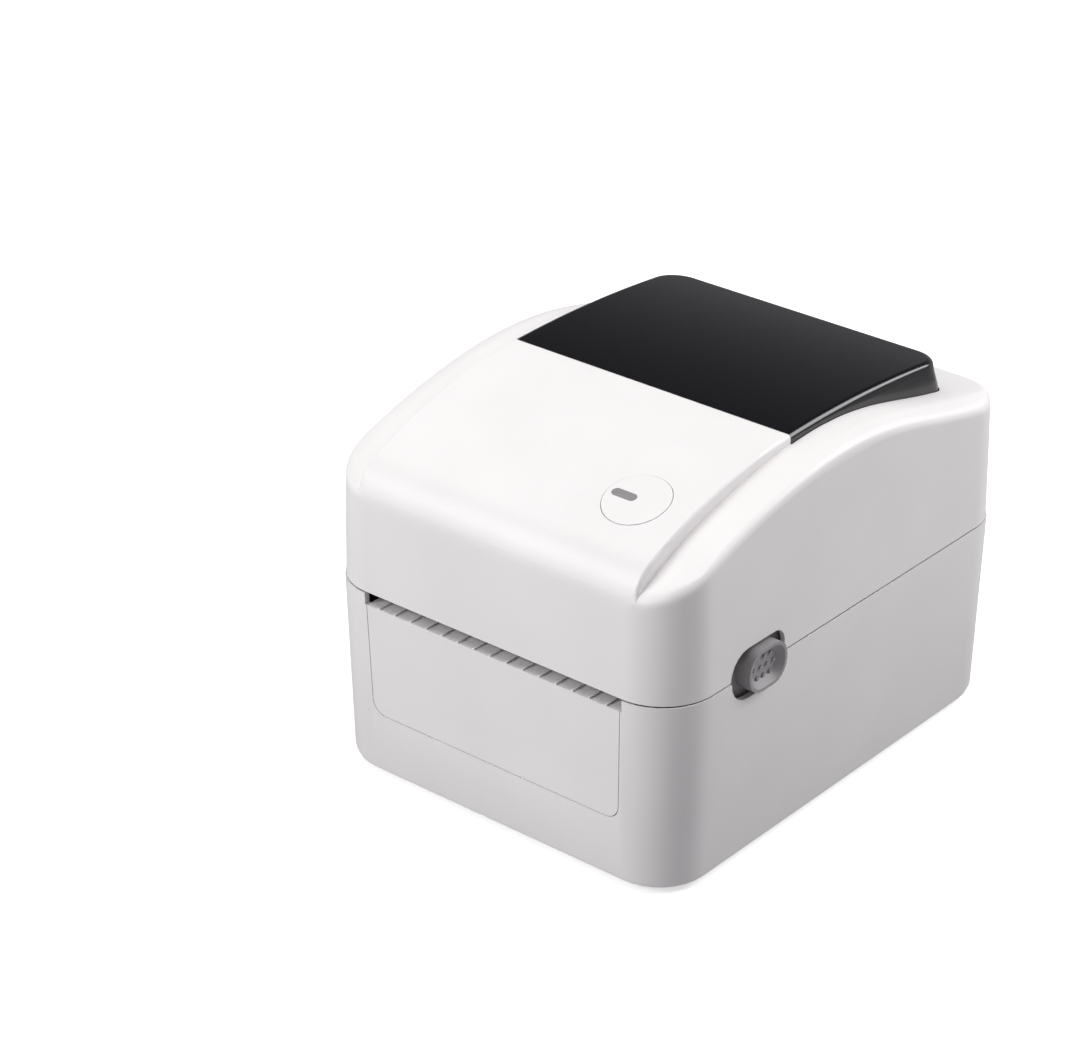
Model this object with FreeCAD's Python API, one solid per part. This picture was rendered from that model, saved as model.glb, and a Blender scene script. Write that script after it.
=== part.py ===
import FreeCAD, Part
import math
import os

from FreeCAD import Vector

# A desktop printer for adhesive labels: a clamshell housing with a rear hinge, a print head in the
# cover, a driven platen and a label bay in the base. Millimetres. X is the viewer's right, Y the
# back, Z up from the table, and the origin lies under the middle of the housing.

# Walls and clearances
wall = 2.5
floor_thickness = 2.5
liner_wall = 2.5
liner_gap = 0.4
running_gap = 0.06
seat_gap = 0.02
slide_gap = 0.3
seam_gap = 0.6
panel_gap = 0.35
window_gap = 0.25
tiny = 1e-6

# Curves are drawn as chords: chords in a quarter turn or an arch, and flats round a peg
housing_chords = 8
corner_chords = 5
base_edge_chords = 2
brow_chords = 6
arch_chords = 8
shoulder_chords = 12
deflector_chords = 8
spring_chords = 8
dot_flats = 6
screw_flats = 6
peg_flats = 10
wide_flats = 20
button_flats = 40

# Label path
platen_radius = 8.0
platen_length = 114.0
platen_end_room = 5.0
shaft_radius = 3.0
label_gap = 0.3
front_to_platen = 22.0
platen_sink = 5.5
platen_to_bay = 116.0

# Label bay and deck
bay_radius = 58.0
bay_width = 128.0
rack_space = 12.0
rear_space = 21.5
rim_height = 5.5
deck_rib_width = 2.0
deck_rib_height = 1.2
deck_rib_pitch = 12.0
deck_rib_count = 9
paper_slot_height = 6.0
paper_slot_width = 118.0
paper_slot_drop = 9.0

# Housing
foot_drop = 2.0
foot_radius = 7.0
foot_recess = 1.0
foot_inset = 21.0
gear_bay = 17.7
corner_radius = 24.0
draft_angle = 1.6
base_edge_radius = 3.5
rim_bevel_width = 2.0
rim_bevel_depth = 1.0

# Cover roof: arched window, panel and brow along the middle, lower shoulders on both sides
cover_rise = 74.1
crest_setback = 119.7
window_setback = 93.5
window_rear_margin = 25.0
window_arch_radius = 600.0
window_corner_radius = 8.0
window_draft_angle = 4.0
window_wall = 2.2
window_edge = 1.2
window_skirt = 3.0
panel_arch_radius = 225.0
panel_overhang = 10.5
panel_edge = 1.2
brow_radius = 20.0
brow_overlap = 0.03
shoulder_front = [(-6.0, 36.4), (3.0, 31.4), (15.0, 24.8), (38.0, 15.7), (70.0, 7.5), (106.0, 3.4)]
shoulder_rear = [(80.0, 5.9), (50.0, 12.7), (25.0, 18.0), (-6.0, 22.6)]
shoulder_flat_overhang = 21.0
shoulder_slope_front = 0.13
shoulder_slope_rear = 0.45

# Front panel and mouth
mouth_height = 5.1
mouth_margin = 1.0
front_panel_overhang = 5.3
front_panel_taper = 1.2
front_panel_height = 47.8
front_panel_corner = 6.0
front_panel_thickness = 2.2
lip_depth = 11.4
lip_thickness = 2.4
lip_rib_width = 0.9
lip_rib_height = 0.7
lip_rib_pitch = 8.0
lip_rib_count = 15

# Rear hinge
hinge_inset = 6.5
hinge_rise = 14.0
hinge_pin_radius = 2.0
ear_inset = 3.0
ear_width = 9.0
ear_radius = 4.5
ear_root = 11.5
ear_side_gap = 0.5
lug_width = 3.4
lug_reach = 5.0
lug_rise = 10.0
hinge_notch_rise = 7.0

# Side latches
latch_setback = 51.5
latch_slot_length = 33.0
latch_slot_height = 21.0
latch_slot_rear_corner = 6.0
latch_tab_length = 23.0
latch_tab_height = 17.6
latch_tab_corner = 8.0
latch_tab_proud = 2.6
latch_tab_gap = 2.5
latch_rim = 1.3
latch_dish_depth = 2.6
latch_dish_draft = 3.0
latch_travel = 5.0
latch_plate = 1.4
latch_plate_gap = 1.9
latch_plate_margin = 2.0
latch_plate_foot = 18.5
latch_plate_head = 12.5
latch_rail_height = 3.2
latch_rail_length = 34.0
latch_keeper = 1.4
latch_keeper_length = 23.8
latch_keeper_height = 7.4
latch_hook_width = 3.6
latch_hook_length = 4.0
latch_hook_rise = 13.5
latch_hook_foot = 8.5
latch_nose = 2.0
latch_nose_height = 3.2
latch_spring_length = 11.4
latch_spring_bow = 1.5
latch_spring_height = 6.0
latch_post = 2.0
grip_dot_radius = 0.85
grip_dot_height = 0.7
grip_dot_pitch = 3.9
grip_rows = (3, 4, 3)
striker_clearance = 0.9
striker_length = 5.6
striker_height = 7.8
spring_strip = 0.4

# Drive train
gear_module = 0.8
rack_module = 1.0
pressure_angle = 20.0
tooth_addendum = 0.75
tooth_dedendum = 1.15
tooth_backlash = 0.06
platen_teeth = 22
reduction_small_teeth = 14
reduction_large_teeth = 32
motor_teeth = 12
guide_teeth = 14
gear_width = 5.0
gear_standoff = 4.5
gear_plane_gap = 1.5
reduction_hub_radius = 4.0
reduction_bearing = 65.0
motor_bearing = 70.0
stud_radius = 2.0
stud_head_radius = 3.2
stud_head = 1.0
motor_size = 35.0
motor_length = 26.0
motor_corner = 5.0
motor_boss_radius = 11.0
motor_boss = 1.5
motor_shaft_radius = 1.5
motor_shaft_socket = 4.0

# Print frame
frame_sheet = 1.5
frame_front = 10.0
frame_rear = 10.0
frame_top = 4.5
frame_floor_drop = 11.7
frame_floor_rear = 44.0
bushing_radius = 5.0
bushing_flange_radius = 6.2
bushing_flange = 0.9
bushing_length = 3.3
frame_boss_radius = 4.0
frame_boss_inset = 7.0
frame_boss_setback = 39.0

# Print head in the cover
head_end_margin = 1.0
head_front = 8.0
head_rear = 10.0
head_thickness = 1.0
sink_overhang = 3.0
sink_front = 9.0
sink_rear = 22.0
sink_thickness = 6.0
sink_groove = 2.0
sink_groove_count = 3
bracket_rear = 25.0
bracket_ear = 8.0
bracket_ear_height = 7.2
head_pivot_back = 23.0
head_pivot_rise = 4.2
head_pivot_radius = 2.0
well_wall = 2.0
well_side_room = 2.7
well_front_room = 3.0
well_height = 18.0
head_spring_inset = 23.0
head_spring_width = 12.0
head_spring_span = 24.0

# Cover liner and tear blade
cover_liner_rise = 1.4
cover_liner_thickness = 2.0
cover_liner_gap = 0.4
deflector_top_setback = 85.5
deflector_overhang = 6.0
deflector_bow = 5.0
deflector_top_gap = 0.6
blade_setback = 3.6
blade_thickness = 0.8
blade_overhang = 3.0
blade_height = 10.6
blade_tip_rise = -0.4
blade_tooth_pitch = 3.0
blade_tooth_depth = 1.5
blade_backing = 2.0

# Feed button and status lens
button_x = 43.0
button_setback = 33.0
button_radius = 13.6
button_gap = 0.25
button_skirt_radius = 15.2
button_skirt_depth = 3.4
button_skirt = 1.0
button_stem_radius = 2.0
button_stem = 2.2
button_travel_room = 1.0
lens_offset = 5.8
lens_length = 11.0
lens_width = 3.8
lens_depth = 6.0
lens_gap = 0.1
switch_cap = 6.0
switch_height = 3.0
board_thickness = 1.6
button_board_length = 41.0
button_board_width = 24.0
board_post_radius = 2.3
board_post_x = 18.2

# Label guides
guide_rest = 52.0
guide_thickness = 4.0
guide_head_radius = 20.0
guide_foot_width = 26.0
guide_hub_radius = 12.0
guide_hub_tip_radius = 9.0
guide_hub_length = 9.0
guide_slot_width = 10.0
guide_slot_margin = 0.5
rack_thickness = 3.5
rack_width = 4.8
rack_reach = 76.0
rack_lift = 5.0
rail_width = 3.0
pinion_stud_radius = 2.5

# Media sensor
sensor_length = 14.0
sensor_width = 8.4
sensor_setback = 53.0
sensor_slot_length = 92.0
sensor_height = 7.0
sensor_proud = 0.8
sensor_flange = 2.0
sensor_flange_thickness = 2.4

# Electronics at the rear
board_lift = 4.5
board_half_width = 58.0
board_length = 56.0
board_rear_gap = 6.0
standoff_radius = 3.0
standoff_inset = 4.0
socket_recess = 0.6
usb_x = 10.0
usb_width = 12.0
usb_height = 11.0
usb_depth = 16.0
usb_shell = 1.2
usb_mouth_depth = 9.0
usb_tongue_width = 5.6
usb_tongue_height = 3.2
jack_x = 34.0
jack_width = 9.0
jack_height = 11.0
jack_depth = 14.0
jack_bore = 3.2
jack_bore_depth = 9.0
jack_pin_radius = 1.0
jack_pin_recess = 1.2
socket_gap = 0.4
switch_x = -36.0
switch_width = 13.0
switch_tall = 19.0
switch_depth = 14.0
switch_rim = 1.2
switch_lift = 12.5
rocker_throw = 16.0
rocker_depth = 5.0
rocker_gap = 0.35
rocker_pivot_radius = 1.2
rocker_back_radius = 3.0

# Fasteners and vents
screw_radius = 1.5
screw_head_radius = 2.8
screw_head = 1.6
screw_length = 12.0
boss_radius = 4.0
boss_gap = 4.5
liner_boss_front = 92.0
liner_boss_rear = 40.0
cover_boss_radius = 3.5
cover_boss_front = 15.0
cover_boss_rear = 48.0
vent_length = 30.0
vent_width = 3.0
vent_pitch = 7.0
vent_count = 7
vent_x = -38.0
vent_setback = 19.5

# Values worked out from the sizes above
draft = math.tan(math.radians(draft_angle))
platen_half = platen_length / 2
frame_inner = platen_half + platen_end_room
frame_outer = frame_inner + frame_sheet
latch_inner = frame_outer + gear_bay
latch_outer = latch_inner + latch_plate
side_x = latch_outer + latch_plate_gap + wall
front_panel_half_width = platen_half + front_panel_overhang
panel_half_width = platen_half + panel_overhang
shoulder_flat = platen_half + shoulder_flat_overhang
deflector_half_width = platen_half + deflector_overhang
blade_half_length = platen_half + blade_overhang
sink_half_length = platen_half + sink_overhang
head_half_length = platen_half - head_end_margin
head_spring_x = platen_half - head_spring_inset
frame_boss_x = platen_half - frame_boss_inset
ear_centre = platen_half - ear_inset
bushing_end = frame_inner - bushing_flange + bushing_length
bay_half = bay_width / 2
bay_outer = bay_half + liner_wall
body_depth = front_to_platen + platen_to_bay + bay_radius + liner_wall + rear_space
front_y = -body_depth / 2
rear_y = body_depth / 2
platen_y = front_y + front_to_platen
bay_y = platen_y + platen_to_bay
floor_top = foot_drop + floor_thickness
deck_z = floor_top + rack_space + liner_wall + bay_radius
deck_under = deck_z - liner_wall
deck_middle = deck_z - liner_wall / 2
seam_z = deck_z + rim_height
base_top = seam_z - seam_gap / 2
cover_bottom = seam_z + seam_gap / 2
top_z = seam_z + cover_rise
above_all = top_z + 2 * wall
platen_z = deck_z - platen_sink
frame_floor_top = platen_z - frame_floor_drop + frame_sheet
head_z = platen_z + platen_radius + label_gap
lip_z = seam_z - mouth_height
window_front = front_y + window_setback
window_rear = rear_y - window_rear_margin
hinge_y = rear_y - hinge_inset
hinge_z = seam_z + hinge_rise
crest_y = front_y + crest_setback
liner_z = cover_bottom + cover_liner_rise
liner_top = liner_z + cover_liner_thickness
well_half = frame_inner + well_side_room
well_front = platen_y - sink_front - well_front_room
well_rear = platen_y + bracket_rear + well_front_room
sink_z = head_z + head_thickness
bracket_z = sink_z + sink_thickness
boss_x = bay_outer + boss_gap + boss_radius
latch_slot_y = front_y + latch_setback
latch_tab_rear = latch_slot_y + latch_slot_length / 2 - latch_tab_gap
latch_tab_front = latch_tab_rear - latch_tab_length
latch_plate_front = latch_slot_y - latch_slot_length / 2 - latch_plate_margin
latch_plate_rear = latch_slot_y + latch_slot_length / 2 + latch_plate_margin + latch_travel
hook_front = latch_plate_front + 2 * latch_plate_margin
hook_rear = hook_front + latch_hook_length
striker_front = hook_rear + latch_nose + striker_clearance
striker_hook = latch_inner - latch_hook_width - slide_gap - striker_clearance
striker_inner = striker_hook - well_wall
cover_boss_x = (well_half + well_wall + striker_inner) / 2
rack_z = floor_top + rack_lift
guide_pitch = rack_module * guide_teeth / 2
board_z = floor_top + board_lift
board_top = board_z + board_thickness
board_rear = rear_y - board_rear_gap
switch_z = floor_top + switch_lift
sensor_y = front_y + sensor_setback


# Outlines: (a, b) points, or (a, b, radius) corners that are drawn as short chords

def arc(a, b, radius, start, sweep, chords):
    """Points on an arc about (a, b), from one angle through a sweep, in radians."""
    turns = [start + sweep * step / chords for step in range(chords + 1)]
    return [(a + radius * math.cos(turn), b + radius * math.sin(turn)) for turn in turns]


def polygon(radius, a, b, flats):
    side = 2 * math.pi / flats
    return arc(a, b, radius, side / 2, 2 * math.pi - side, flats - 1)


def rectangle(a0, a1, b0, b1, radius=None):
    corners = [(a0, b0), (a1, b0), (a1, b1), (a0, b1)]
    return corners if radius is None else [(a, b, radius) for a, b in corners]


def rounded(corners, chords):
    points = []
    for index, corner in enumerate(corners):
        if len(corner) == 2:
            points.append(corner)
            continue
        a, b, radius = corner
        before = corners[index - 1]
        after = corners[(index + 1) % len(corners)]
        back = Vector(before[0] - a, before[1] - b, 0).normalize()
        ahead = Vector(after[0] - a, after[1] - b, 0).normalize()
        half = back.getAngle(ahead) / 2
        centre = Vector(a, b, 0) + (back + ahead).normalize() * (radius / math.sin(half))
        first = Vector(a, b, 0) + back * (radius / math.tan(half)) - centre
        sweep = math.copysign(math.pi - 2 * half, ahead.cross(back).z)
        points += arc(centre.x, centre.y, radius, math.atan2(first.y, first.x), sweep, chords)
    return points


def loop(corners, place, chords=corner_chords):
    """Points round an outline, put in space by place(a, b)."""
    points = []
    for a, b in rounded(corners, chords):
        point = place(a, b)
        if not points or (point - points[-1]).Length > tiny:
            points.append(point)
    if (points[0] - points[-1]).Length < tiny:
        points.pop()
    return points


def strip(path, thickness):
    """Closed outline of a flat strip that follows a path of (a, b) points."""
    near = []
    far = []
    for index, (a, b) in enumerate(path):
        before = path[max(index - 1, 0)]
        after = path[min(index + 1, len(path) - 1)]
        along = Vector(after[0] - before[0], after[1] - before[1], 0).normalize()
        near.append((a - along.y * thickness / 2, b + along.x * thickness / 2))
        far.append((a + along.y * thickness / 2, b - along.x * thickness / 2))
    return near + far[::-1]


def bow(length, rise, steps):
    """Points of a shallow bow of the given length and rise, from (0, 0)."""
    shares = [step / steps for step in range(steps + 1)]
    return [(length * share, 4 * rise * share * (1 - share)) for share in shares]


# Solids: blocks, prisms, rods that turn and many-sided pegs that don't

def block(x0, x1, y0, y1, z0, z1):
    return Part.makeBox(x1 - x0, y1 - y0, z1 - z0, Vector(x0, y0, z0))


def face(points):
    return Part.Face(Part.makePolygon(points + points[:1]))


def skin(sections):
    """Solid with flat faces through closed sections that have equal numbers of points."""
    faces = [face(sections[0]), face(sections[-1])]
    for near, far in zip(sections, sections[1:]):
        for index in range(len(near)):
            a, b, c, d = near[index - 1], near[index], far[index], far[index - 1]
            if abs((b - a).cross(c - a).dot(d - a)) < tiny:
                faces.append(face([a, b, c, d]))
            else:
                faces += [face([a, b, c]), face([a, c, d])]
    solid = Part.Solid(Part.Shell(faces))
    if solid.Volume < 0:
        solid.reverse()
    return solid


def prism(points, way):
    return face(points).extrude(way)


def prism_x(corners, x0, x1):
    return prism(loop(corners, lambda a, b: Vector(x0, a, b)), Vector(x1 - x0, 0, 0))


def prism_y(corners, y0, y1):
    return prism(loop(corners, lambda a, b: Vector(a, y0, b)), Vector(0, y1 - y0, 0))


def prism_z(corners, z0, z1):
    return prism(loop(corners, lambda a, b: Vector(a, b, z0)), Vector(0, 0, z1 - z0))


def rod_x(radius, x0, x1, y, z):
    return Part.makeCylinder(radius, x1 - x0, Vector(x0, y, z), Vector(1, 0, 0))


def rod_z(radius, z0, z1, x, y):
    return Part.makeCylinder(radius, z1 - z0, Vector(x, y, z0))


def peg_x(radius, x0, x1, y, z, flats=peg_flats):
    return prism_x(polygon(radius, y, z, flats), x0, x1)


def peg_y(radius, y0, y1, x, z, flats=peg_flats):
    return prism_y(polygon(radius, x, z, flats), y0, y1)


def peg_z(radius, z0, z1, x, y, flats=peg_flats):
    return prism_z(polygon(radius, x, y, flats), z0, z1)


def socket_x(radius, x0, x1, y, z):
    """Many-sided hole that a round rod of the given radius just fills."""
    return peg_x(radius / math.cos(math.pi / peg_flats), x0, x1, y, z)


def mirrored(shape):
    return shape.mirror(Vector(0, 0, 0), Vector(1, 0, 0))


def both_sides(shape):
    return [shape, mirrored(shape)]


# Housing outline: a rounded rectangle, widest at the seam, drawn in by the draft above and below

def ring(z, inset):
    shrink = abs(z - seam_z) * draft + inset
    half_width = side_x - shrink
    half_depth = body_depth / 2 - shrink
    corners = rectangle(-half_width, half_width, -half_depth, half_depth, corner_radius - shrink)
    return loop(corners, lambda a, b: Vector(a, b, z), housing_chords)


def housing(inset, z0, z1):
    return skin([ring(z0, inset), ring(z1, inset)])


# Roof of the cover, drawn in the YZ plane

def circle_z(centre, radius, y):
    return centre.y + math.sqrt(radius ** 2 - (y - centre.x) ** 2)


def circle_turn(centre, radius, y):
    return math.acos((y - centre.x) / radius)


window_centre = Vector(crest_y, top_z - window_arch_radius, 0)
window_joint = Vector(window_front, circle_z(window_centre, window_arch_radius, window_front), 0)
panel_centre = window_joint + (window_centre - window_joint) * (panel_arch_radius / window_arch_radius)
wall_way = Vector(draft, 1, 0).normalize()
wall_out = Vector(-wall_way.y, wall_way.x, 0)


def brow_centre():
    """Centre of the arc that touches the front wall and the panel's arch from inside."""
    start = Vector(front_y, seam_z, 0) - wall_out * (brow_radius - brow_overlap)
    toward = panel_centre - start
    along = toward.dot(wall_way)
    aside = toward.Length ** 2 - along ** 2
    return start + wall_way * (along + math.sqrt((panel_arch_radius - brow_radius) ** 2 - aside))


def panel_outline(inset):
    """Front wall, brow and panel arch, drawn in by a thickness and closed down to the floor."""
    brow = brow_centre()
    up = brow - panel_centre
    radius = brow_radius - inset
    arch = panel_arch_radius - inset
    wall_turn = math.atan2(wall_out.y, wall_out.x)
    joint_turn = math.atan2(up.y, up.x)
    end_turn = circle_turn(panel_centre, arch, window_front)
    foot = brow + wall_out * radius - wall_way * (brow.y - foot_drop)
    points = [(foot.x, foot_drop)]
    points += arc(brow.x, brow.y, radius, wall_turn, joint_turn - wall_turn, brow_chords)
    points += arc(panel_centre.x, panel_centre.y, arch, joint_turn, end_turn - joint_turn, arch_chords)
    return points + [(window_front, foot_drop)]


def panel_prism(inset, edge):
    """Everything under the panel and its brow, with a bevel along both sides."""
    half = panel_half_width - inset
    sections = [(-half, inset + edge), (edge - half, inset), (half - edge, inset), (half, inset + edge)]
    return skin([loop(panel_outline(drawn_in), lambda a, b: Vector(x, a, b)) for x, drawn_in in sections])


def shoulder_curve():
    points = [Vector(0, front_y + back, top_z - drop) for back, drop in shoulder_front]
    points += [Vector(0, rear_y - ahead, top_z - drop) for ahead, drop in shoulder_rear]
    spline = Part.BSplineCurve()
    spline.interpolate(points)
    return spline.discretize(Number=shoulder_chords + 1)


def shoulder_section(x, lower):
    """Closed section of everything under the shoulders, at one distance from the middle."""
    beyond = max(0.0, abs(x) - shoulder_flat)
    curve = shoulder_curve()
    length = curve[-1].y - curve[0].y
    outline = [(curve[-1].y, foot_drop), (curve[0].y, foot_drop)]
    for point in curve:
        share = (point.y - curve[0].y) / length
        slope = shoulder_slope_front + (shoulder_slope_rear - shoulder_slope_front) * share
        outline.append((point.y, point.z - slope * beyond - lower))
    return loop(outline, lambda a, b: Vector(x, a, b))


def under_shoulders(lower):
    far = side_x + wall
    sections = [shoulder_section(x, lower) for x in (-far, -shoulder_flat, shoulder_flat, far)]
    return skin(sections)


def arch_outline(lower, edge):
    """The window's arch, bevelled down at the rear and closed down to the floor."""
    radius = window_arch_radius - lower
    front = window_front - wall
    rear = window_rear - edge
    start = circle_turn(window_centre, radius, front)
    end = circle_turn(window_centre, radius, rear)
    points = [(front, foot_drop)]
    points += arc(window_centre.x, window_centre.y, radius, start, end - start, arch_chords)
    slope = rear_y - rear
    return points + [(rear_y, points[-1][1] - slope), (rear_y, foot_drop)]


def under_arch(lower, edge):
    """Everything under the window's arch, with its side edges bevelled."""
    slope = side_x - panel_half_width + edge
    half = panel_half_width - edge
    sections = [(-side_x, lower + slope), (-half, lower), (half, lower), (side_x, lower + slope)]
    return skin([loop(arch_outline(drop, edge), lambda a, b: Vector(x, a, b)) for x, drop in sections])


def window_prism(grow, lower, edge):
    """The window's drafted block, straight at the front, under its own arch."""
    rings = []
    for z in (seam_z, above_all):
        spread = grow + (window_joint.y - z) * math.tan(math.radians(window_draft_angle))
        half = panel_half_width + spread
        rear = window_rear + spread
        corners = [(-half, window_front), (half, window_front)]
        corners += [(half, rear, window_corner_radius), (-half, rear, window_corner_radius)]
        rings.append(loop(corners, lambda a, b: Vector(a, b, z)))
    return skin(rings).common(under_arch(lower, edge))


# Gears: each flank is the chord of its involute from root to tip

def involute(angle):
    return math.tan(angle) - angle


def gear_points(teeth, module, phase):
    angle = math.radians(pressure_angle)
    pitch = module * teeth / 2
    base = pitch * math.cos(angle)
    tip = pitch + tooth_addendum * module
    root = pitch - tooth_dedendum * module
    half = math.pi / (2 * teeth) + involute(angle) - tooth_backlash / (2 * pitch)
    root_turn = half - involute(math.acos(base / max(base, root)))
    tip_turn = half - involute(math.acos(base / tip))
    profile = [(root, -root_turn), (tip, -tip_turn), (tip, tip_turn), (root, root_turn)]
    points = []
    for tooth in range(teeth):
        centre = phase + 2 * math.pi * tooth / teeth
        for radius, turn in profile:
            points.append((radius * math.cos(centre + turn), radius * math.sin(centre + turn)))
    return points


def gear_x(teeth, phase, x0, x1, y, z):
    points = [(y + a, z + b) for a, b in gear_points(teeth, gear_module, phase)]
    return prism_x(points, x0, x1)


def rack_points(x0, x1, pitch_y, toward):
    """Rack outline along X with its teeth toward -1 or +1 in Y, a tooth at X = 0."""
    step = math.pi * rack_module
    slope = math.tan(math.radians(pressure_angle))
    half = step / 4 - tooth_backlash / 2
    tip = tooth_addendum * rack_module
    root = tooth_dedendum * rack_module
    low = pitch_y - toward * root
    high = pitch_y + toward * tip
    back = low - toward * rack_width
    points = [(x0, back), (x0, low)]
    for tooth in range(math.ceil(x0 / step + 0.5), math.floor(x1 / step - 0.5) + 1):
        centre = tooth * step
        points += [(centre - half - root * slope, low), (centre - half + tip * slope, high)]
        points += [(centre + half - tip * slope, high), (centre + half + root * slope, low)]
    return points + [(x1, low), (x1, back)]


# Gear axes: the reduction gear hangs below the platen, the motor below the reduction gear

def step_from(y, z, distance, bearing):
    turn = math.radians(bearing)
    return y + distance * math.cos(turn), z - distance * math.sin(turn)


reduction_reach = gear_module * (platen_teeth + reduction_small_teeth) / 2
motor_reach = gear_module * (reduction_large_teeth + motor_teeth) / 2
reduction_y, reduction_z = step_from(platen_y, platen_z, reduction_reach, reduction_bearing)
motor_y, motor_z = step_from(reduction_y, reduction_z, motor_reach, motor_bearing)
inner_gear_end = -frame_outer - gear_standoff
inner_gear_start = inner_gear_end - gear_width
outer_gear_end = inner_gear_start - gear_plane_gap
outer_gear_start = outer_gear_end - gear_width


# Base shell and the pieces fixed to it

def latch_slot():
    """Slot through the right side wall, round in front, half in the base and half in the cover."""
    half = latch_slot_height / 2
    corner = latch_slot_rear_corner
    y0 = latch_slot_y - latch_slot_length / 2
    y1 = latch_slot_y + latch_slot_length / 2
    outline = [(y0, seam_z - half, half), (y1, seam_z - half, corner)]
    outline += [(y1, seam_z + half, corner), (y0, seam_z + half, half)]
    return prism_x(outline, latch_outer, side_x + wall)


def front_panel_outline(grow):
    half_top = front_panel_half_width + grow
    half_low = half_top - front_panel_taper
    low = lip_z - front_panel_height - grow
    radius = front_panel_corner + grow
    return [(-half_low, low, radius), (half_low, low, radius), (half_top, lip_z), (-half_top, lip_z)]


def hinge_ear():
    root = seam_z - ear_root
    rim = base_top - rim_bevel_depth
    rear = rear_y - wall / 2
    outline = [(hinge_y - ear_radius, root), (rear, root), (rear, rim), (hinge_y + ear_radius, rim)]
    outline += arc(hinge_y, hinge_z, ear_radius, 0, math.pi, peg_flats)
    x0 = ear_centre - ear_width / 2
    x1 = ear_centre + ear_width / 2
    bore = rod_x(hinge_pin_radius + running_gap, x0, x1, hinge_y, hinge_z)
    return prism_x(outline, x0, x1).cut(bore)


def latch_carrier():
    """Rail under the latch plate, keeper behind it and the post that its spring pushes on."""
    plate_foot = seam_z - latch_plate_foot
    rail_top = plate_foot - slide_gap
    rail_low = rail_top - latch_rail_height
    rail_y0 = latch_slot_y - latch_rail_length / 2 + latch_travel
    rail_y1 = rail_y0 + latch_rail_length
    outside = side_x - wall / 2
    keeper_x1 = latch_inner - slide_gap
    keeper_x0 = keeper_x1 - latch_keeper
    keeper_top = plate_foot + latch_keeper_height
    post_y1 = latch_plate_front - latch_spring_length - 2 * slide_gap
    post_top = plate_foot + latch_spring_height + 2 * latch_plate_margin
    rail = block(keeper_x0, outside, rail_y0, rail_y1, rail_low, rail_top)
    keeper = block(keeper_x0, keeper_x1, rail_y1 - latch_keeper_length, rail_y1, rail_low, keeper_top)
    post = block(keeper_x1, outside, post_y1 - latch_post, post_y1, plate_foot, post_top)
    return rail.fuse([keeper, post]).common(housing(wall / 2, foot_drop, seam_z))


def board_corners():
    x = board_half_width - standoff_inset
    front = board_rear - board_length + standoff_inset
    return [(side * x, y) for side in (-1, 1) for y in (front, board_rear - standoff_inset)]


def liner_bosses():
    places = (front_y + liner_boss_front, rear_y - liner_boss_rear)
    return [(side * boss_x, y) for y in places for side in (-1, 1)]


def foot_places():
    x = side_x - foot_inset
    y = body_depth / 2 - foot_inset
    return [(-x, -y), (x, -y), (-x, y), (x, y)]


def paper_slot(y0):
    top = deck_z - paper_slot_drop
    half = paper_slot_width / 2
    return block(-half, half, y0, rear_y + wall, top - paper_slot_height, top)


def mouth_gap(y1, z0):
    half = front_panel_half_width + mouth_margin
    return block(-half, half, front_y - wall, y1, z0, seam_z)


def rear_aperture(x, width, z, height, gap):
    half = width / 2 + gap
    return block(x - half, x + half, rear_y - 4 * wall, rear_y + wall, z - gap, z + height + gap)


def bottom_vents():
    vents = []
    for index in range(vent_count):
        x0 = vent_x - vent_length / 2
        y0 = front_y + vent_setback + index * vent_pitch
        vents.append(block(x0, x0 + vent_length, y0, y0 + vent_width, 0, floor_top + wall))
    return vents


def base_walls():
    """Tub with a rounded lower edge and a bevel inside its rim."""
    rings = []
    for step in range(base_edge_chords + 1):
        turn = math.pi / 2 * step / base_edge_chords
        rise = base_edge_radius * (1 - math.cos(turn))
        rings.append(ring(foot_drop + rise, base_edge_radius * (1 - math.sin(turn))))
    body = skin(rings + [ring(base_top, 0)])
    body = body.cut(housing(wall, floor_top, seam_z))
    bevel_low = ring(base_top - rim_bevel_depth, wall)
    bevel_high = ring(base_top + rim_bevel_depth, wall - 2 * rim_bevel_width)
    return body.cut(skin([bevel_low, bevel_high]))


def base_shell():
    rooted = foot_drop + floor_thickness / 2
    additions = both_sides(hinge_ear()) + both_sides(latch_carrier())
    for x, y in liner_bosses():
        boss = peg_z(boss_radius, rooted, deck_under, x, y)
        bore = peg_z(screw_radius + seat_gap, deck_under - screw_length, deck_under, x, y, screw_flats)
        additions.append(boss.cut(bore))
    additions += [peg_z(standoff_radius, rooted, board_z, x, y) for x, y in board_corners()]
    additions.append(rod_z(pinion_stud_radius, rooted, rack_z + rack_thickness, 0, bay_y))
    for side in (-1, 1):
        rail_y = bay_y + side * (guide_pitch + tooth_dedendum * rack_module + rack_width / 2)
        y0 = rail_y - rail_width / 2
        additions.append(block(-bay_half, bay_half, y0, y0 + rail_width, rooted, rack_z - slide_gap))
    cuts = both_sides(latch_slot()) + bottom_vents()
    cuts += [peg_z(foot_radius, 0, foot_drop + foot_recess, x, y, wide_flats) for x, y in foot_places()]
    cuts.append(prism_y(front_panel_outline(panel_gap), front_y - wall, front_y + 2 * wall))
    cuts.append(mouth_gap(front_y + 2 * wall, lip_z))
    cuts.append(paper_slot(rear_y - 2 * wall))
    cuts.append(rear_aperture(usb_x, usb_width, board_top, usb_height, socket_gap))
    cuts.append(rear_aperture(jack_x, jack_width, board_top, jack_height, socket_gap))
    cuts.append(rear_aperture(switch_x, switch_width, switch_z, switch_tall, seat_gap))
    return base_walls().fuse(additions).cut(cuts).removeSplitter()


def foot(x, y):
    return peg_z(foot_radius - seat_gap, 0, foot_drop + foot_recess, x, y, wide_flats)


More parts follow.
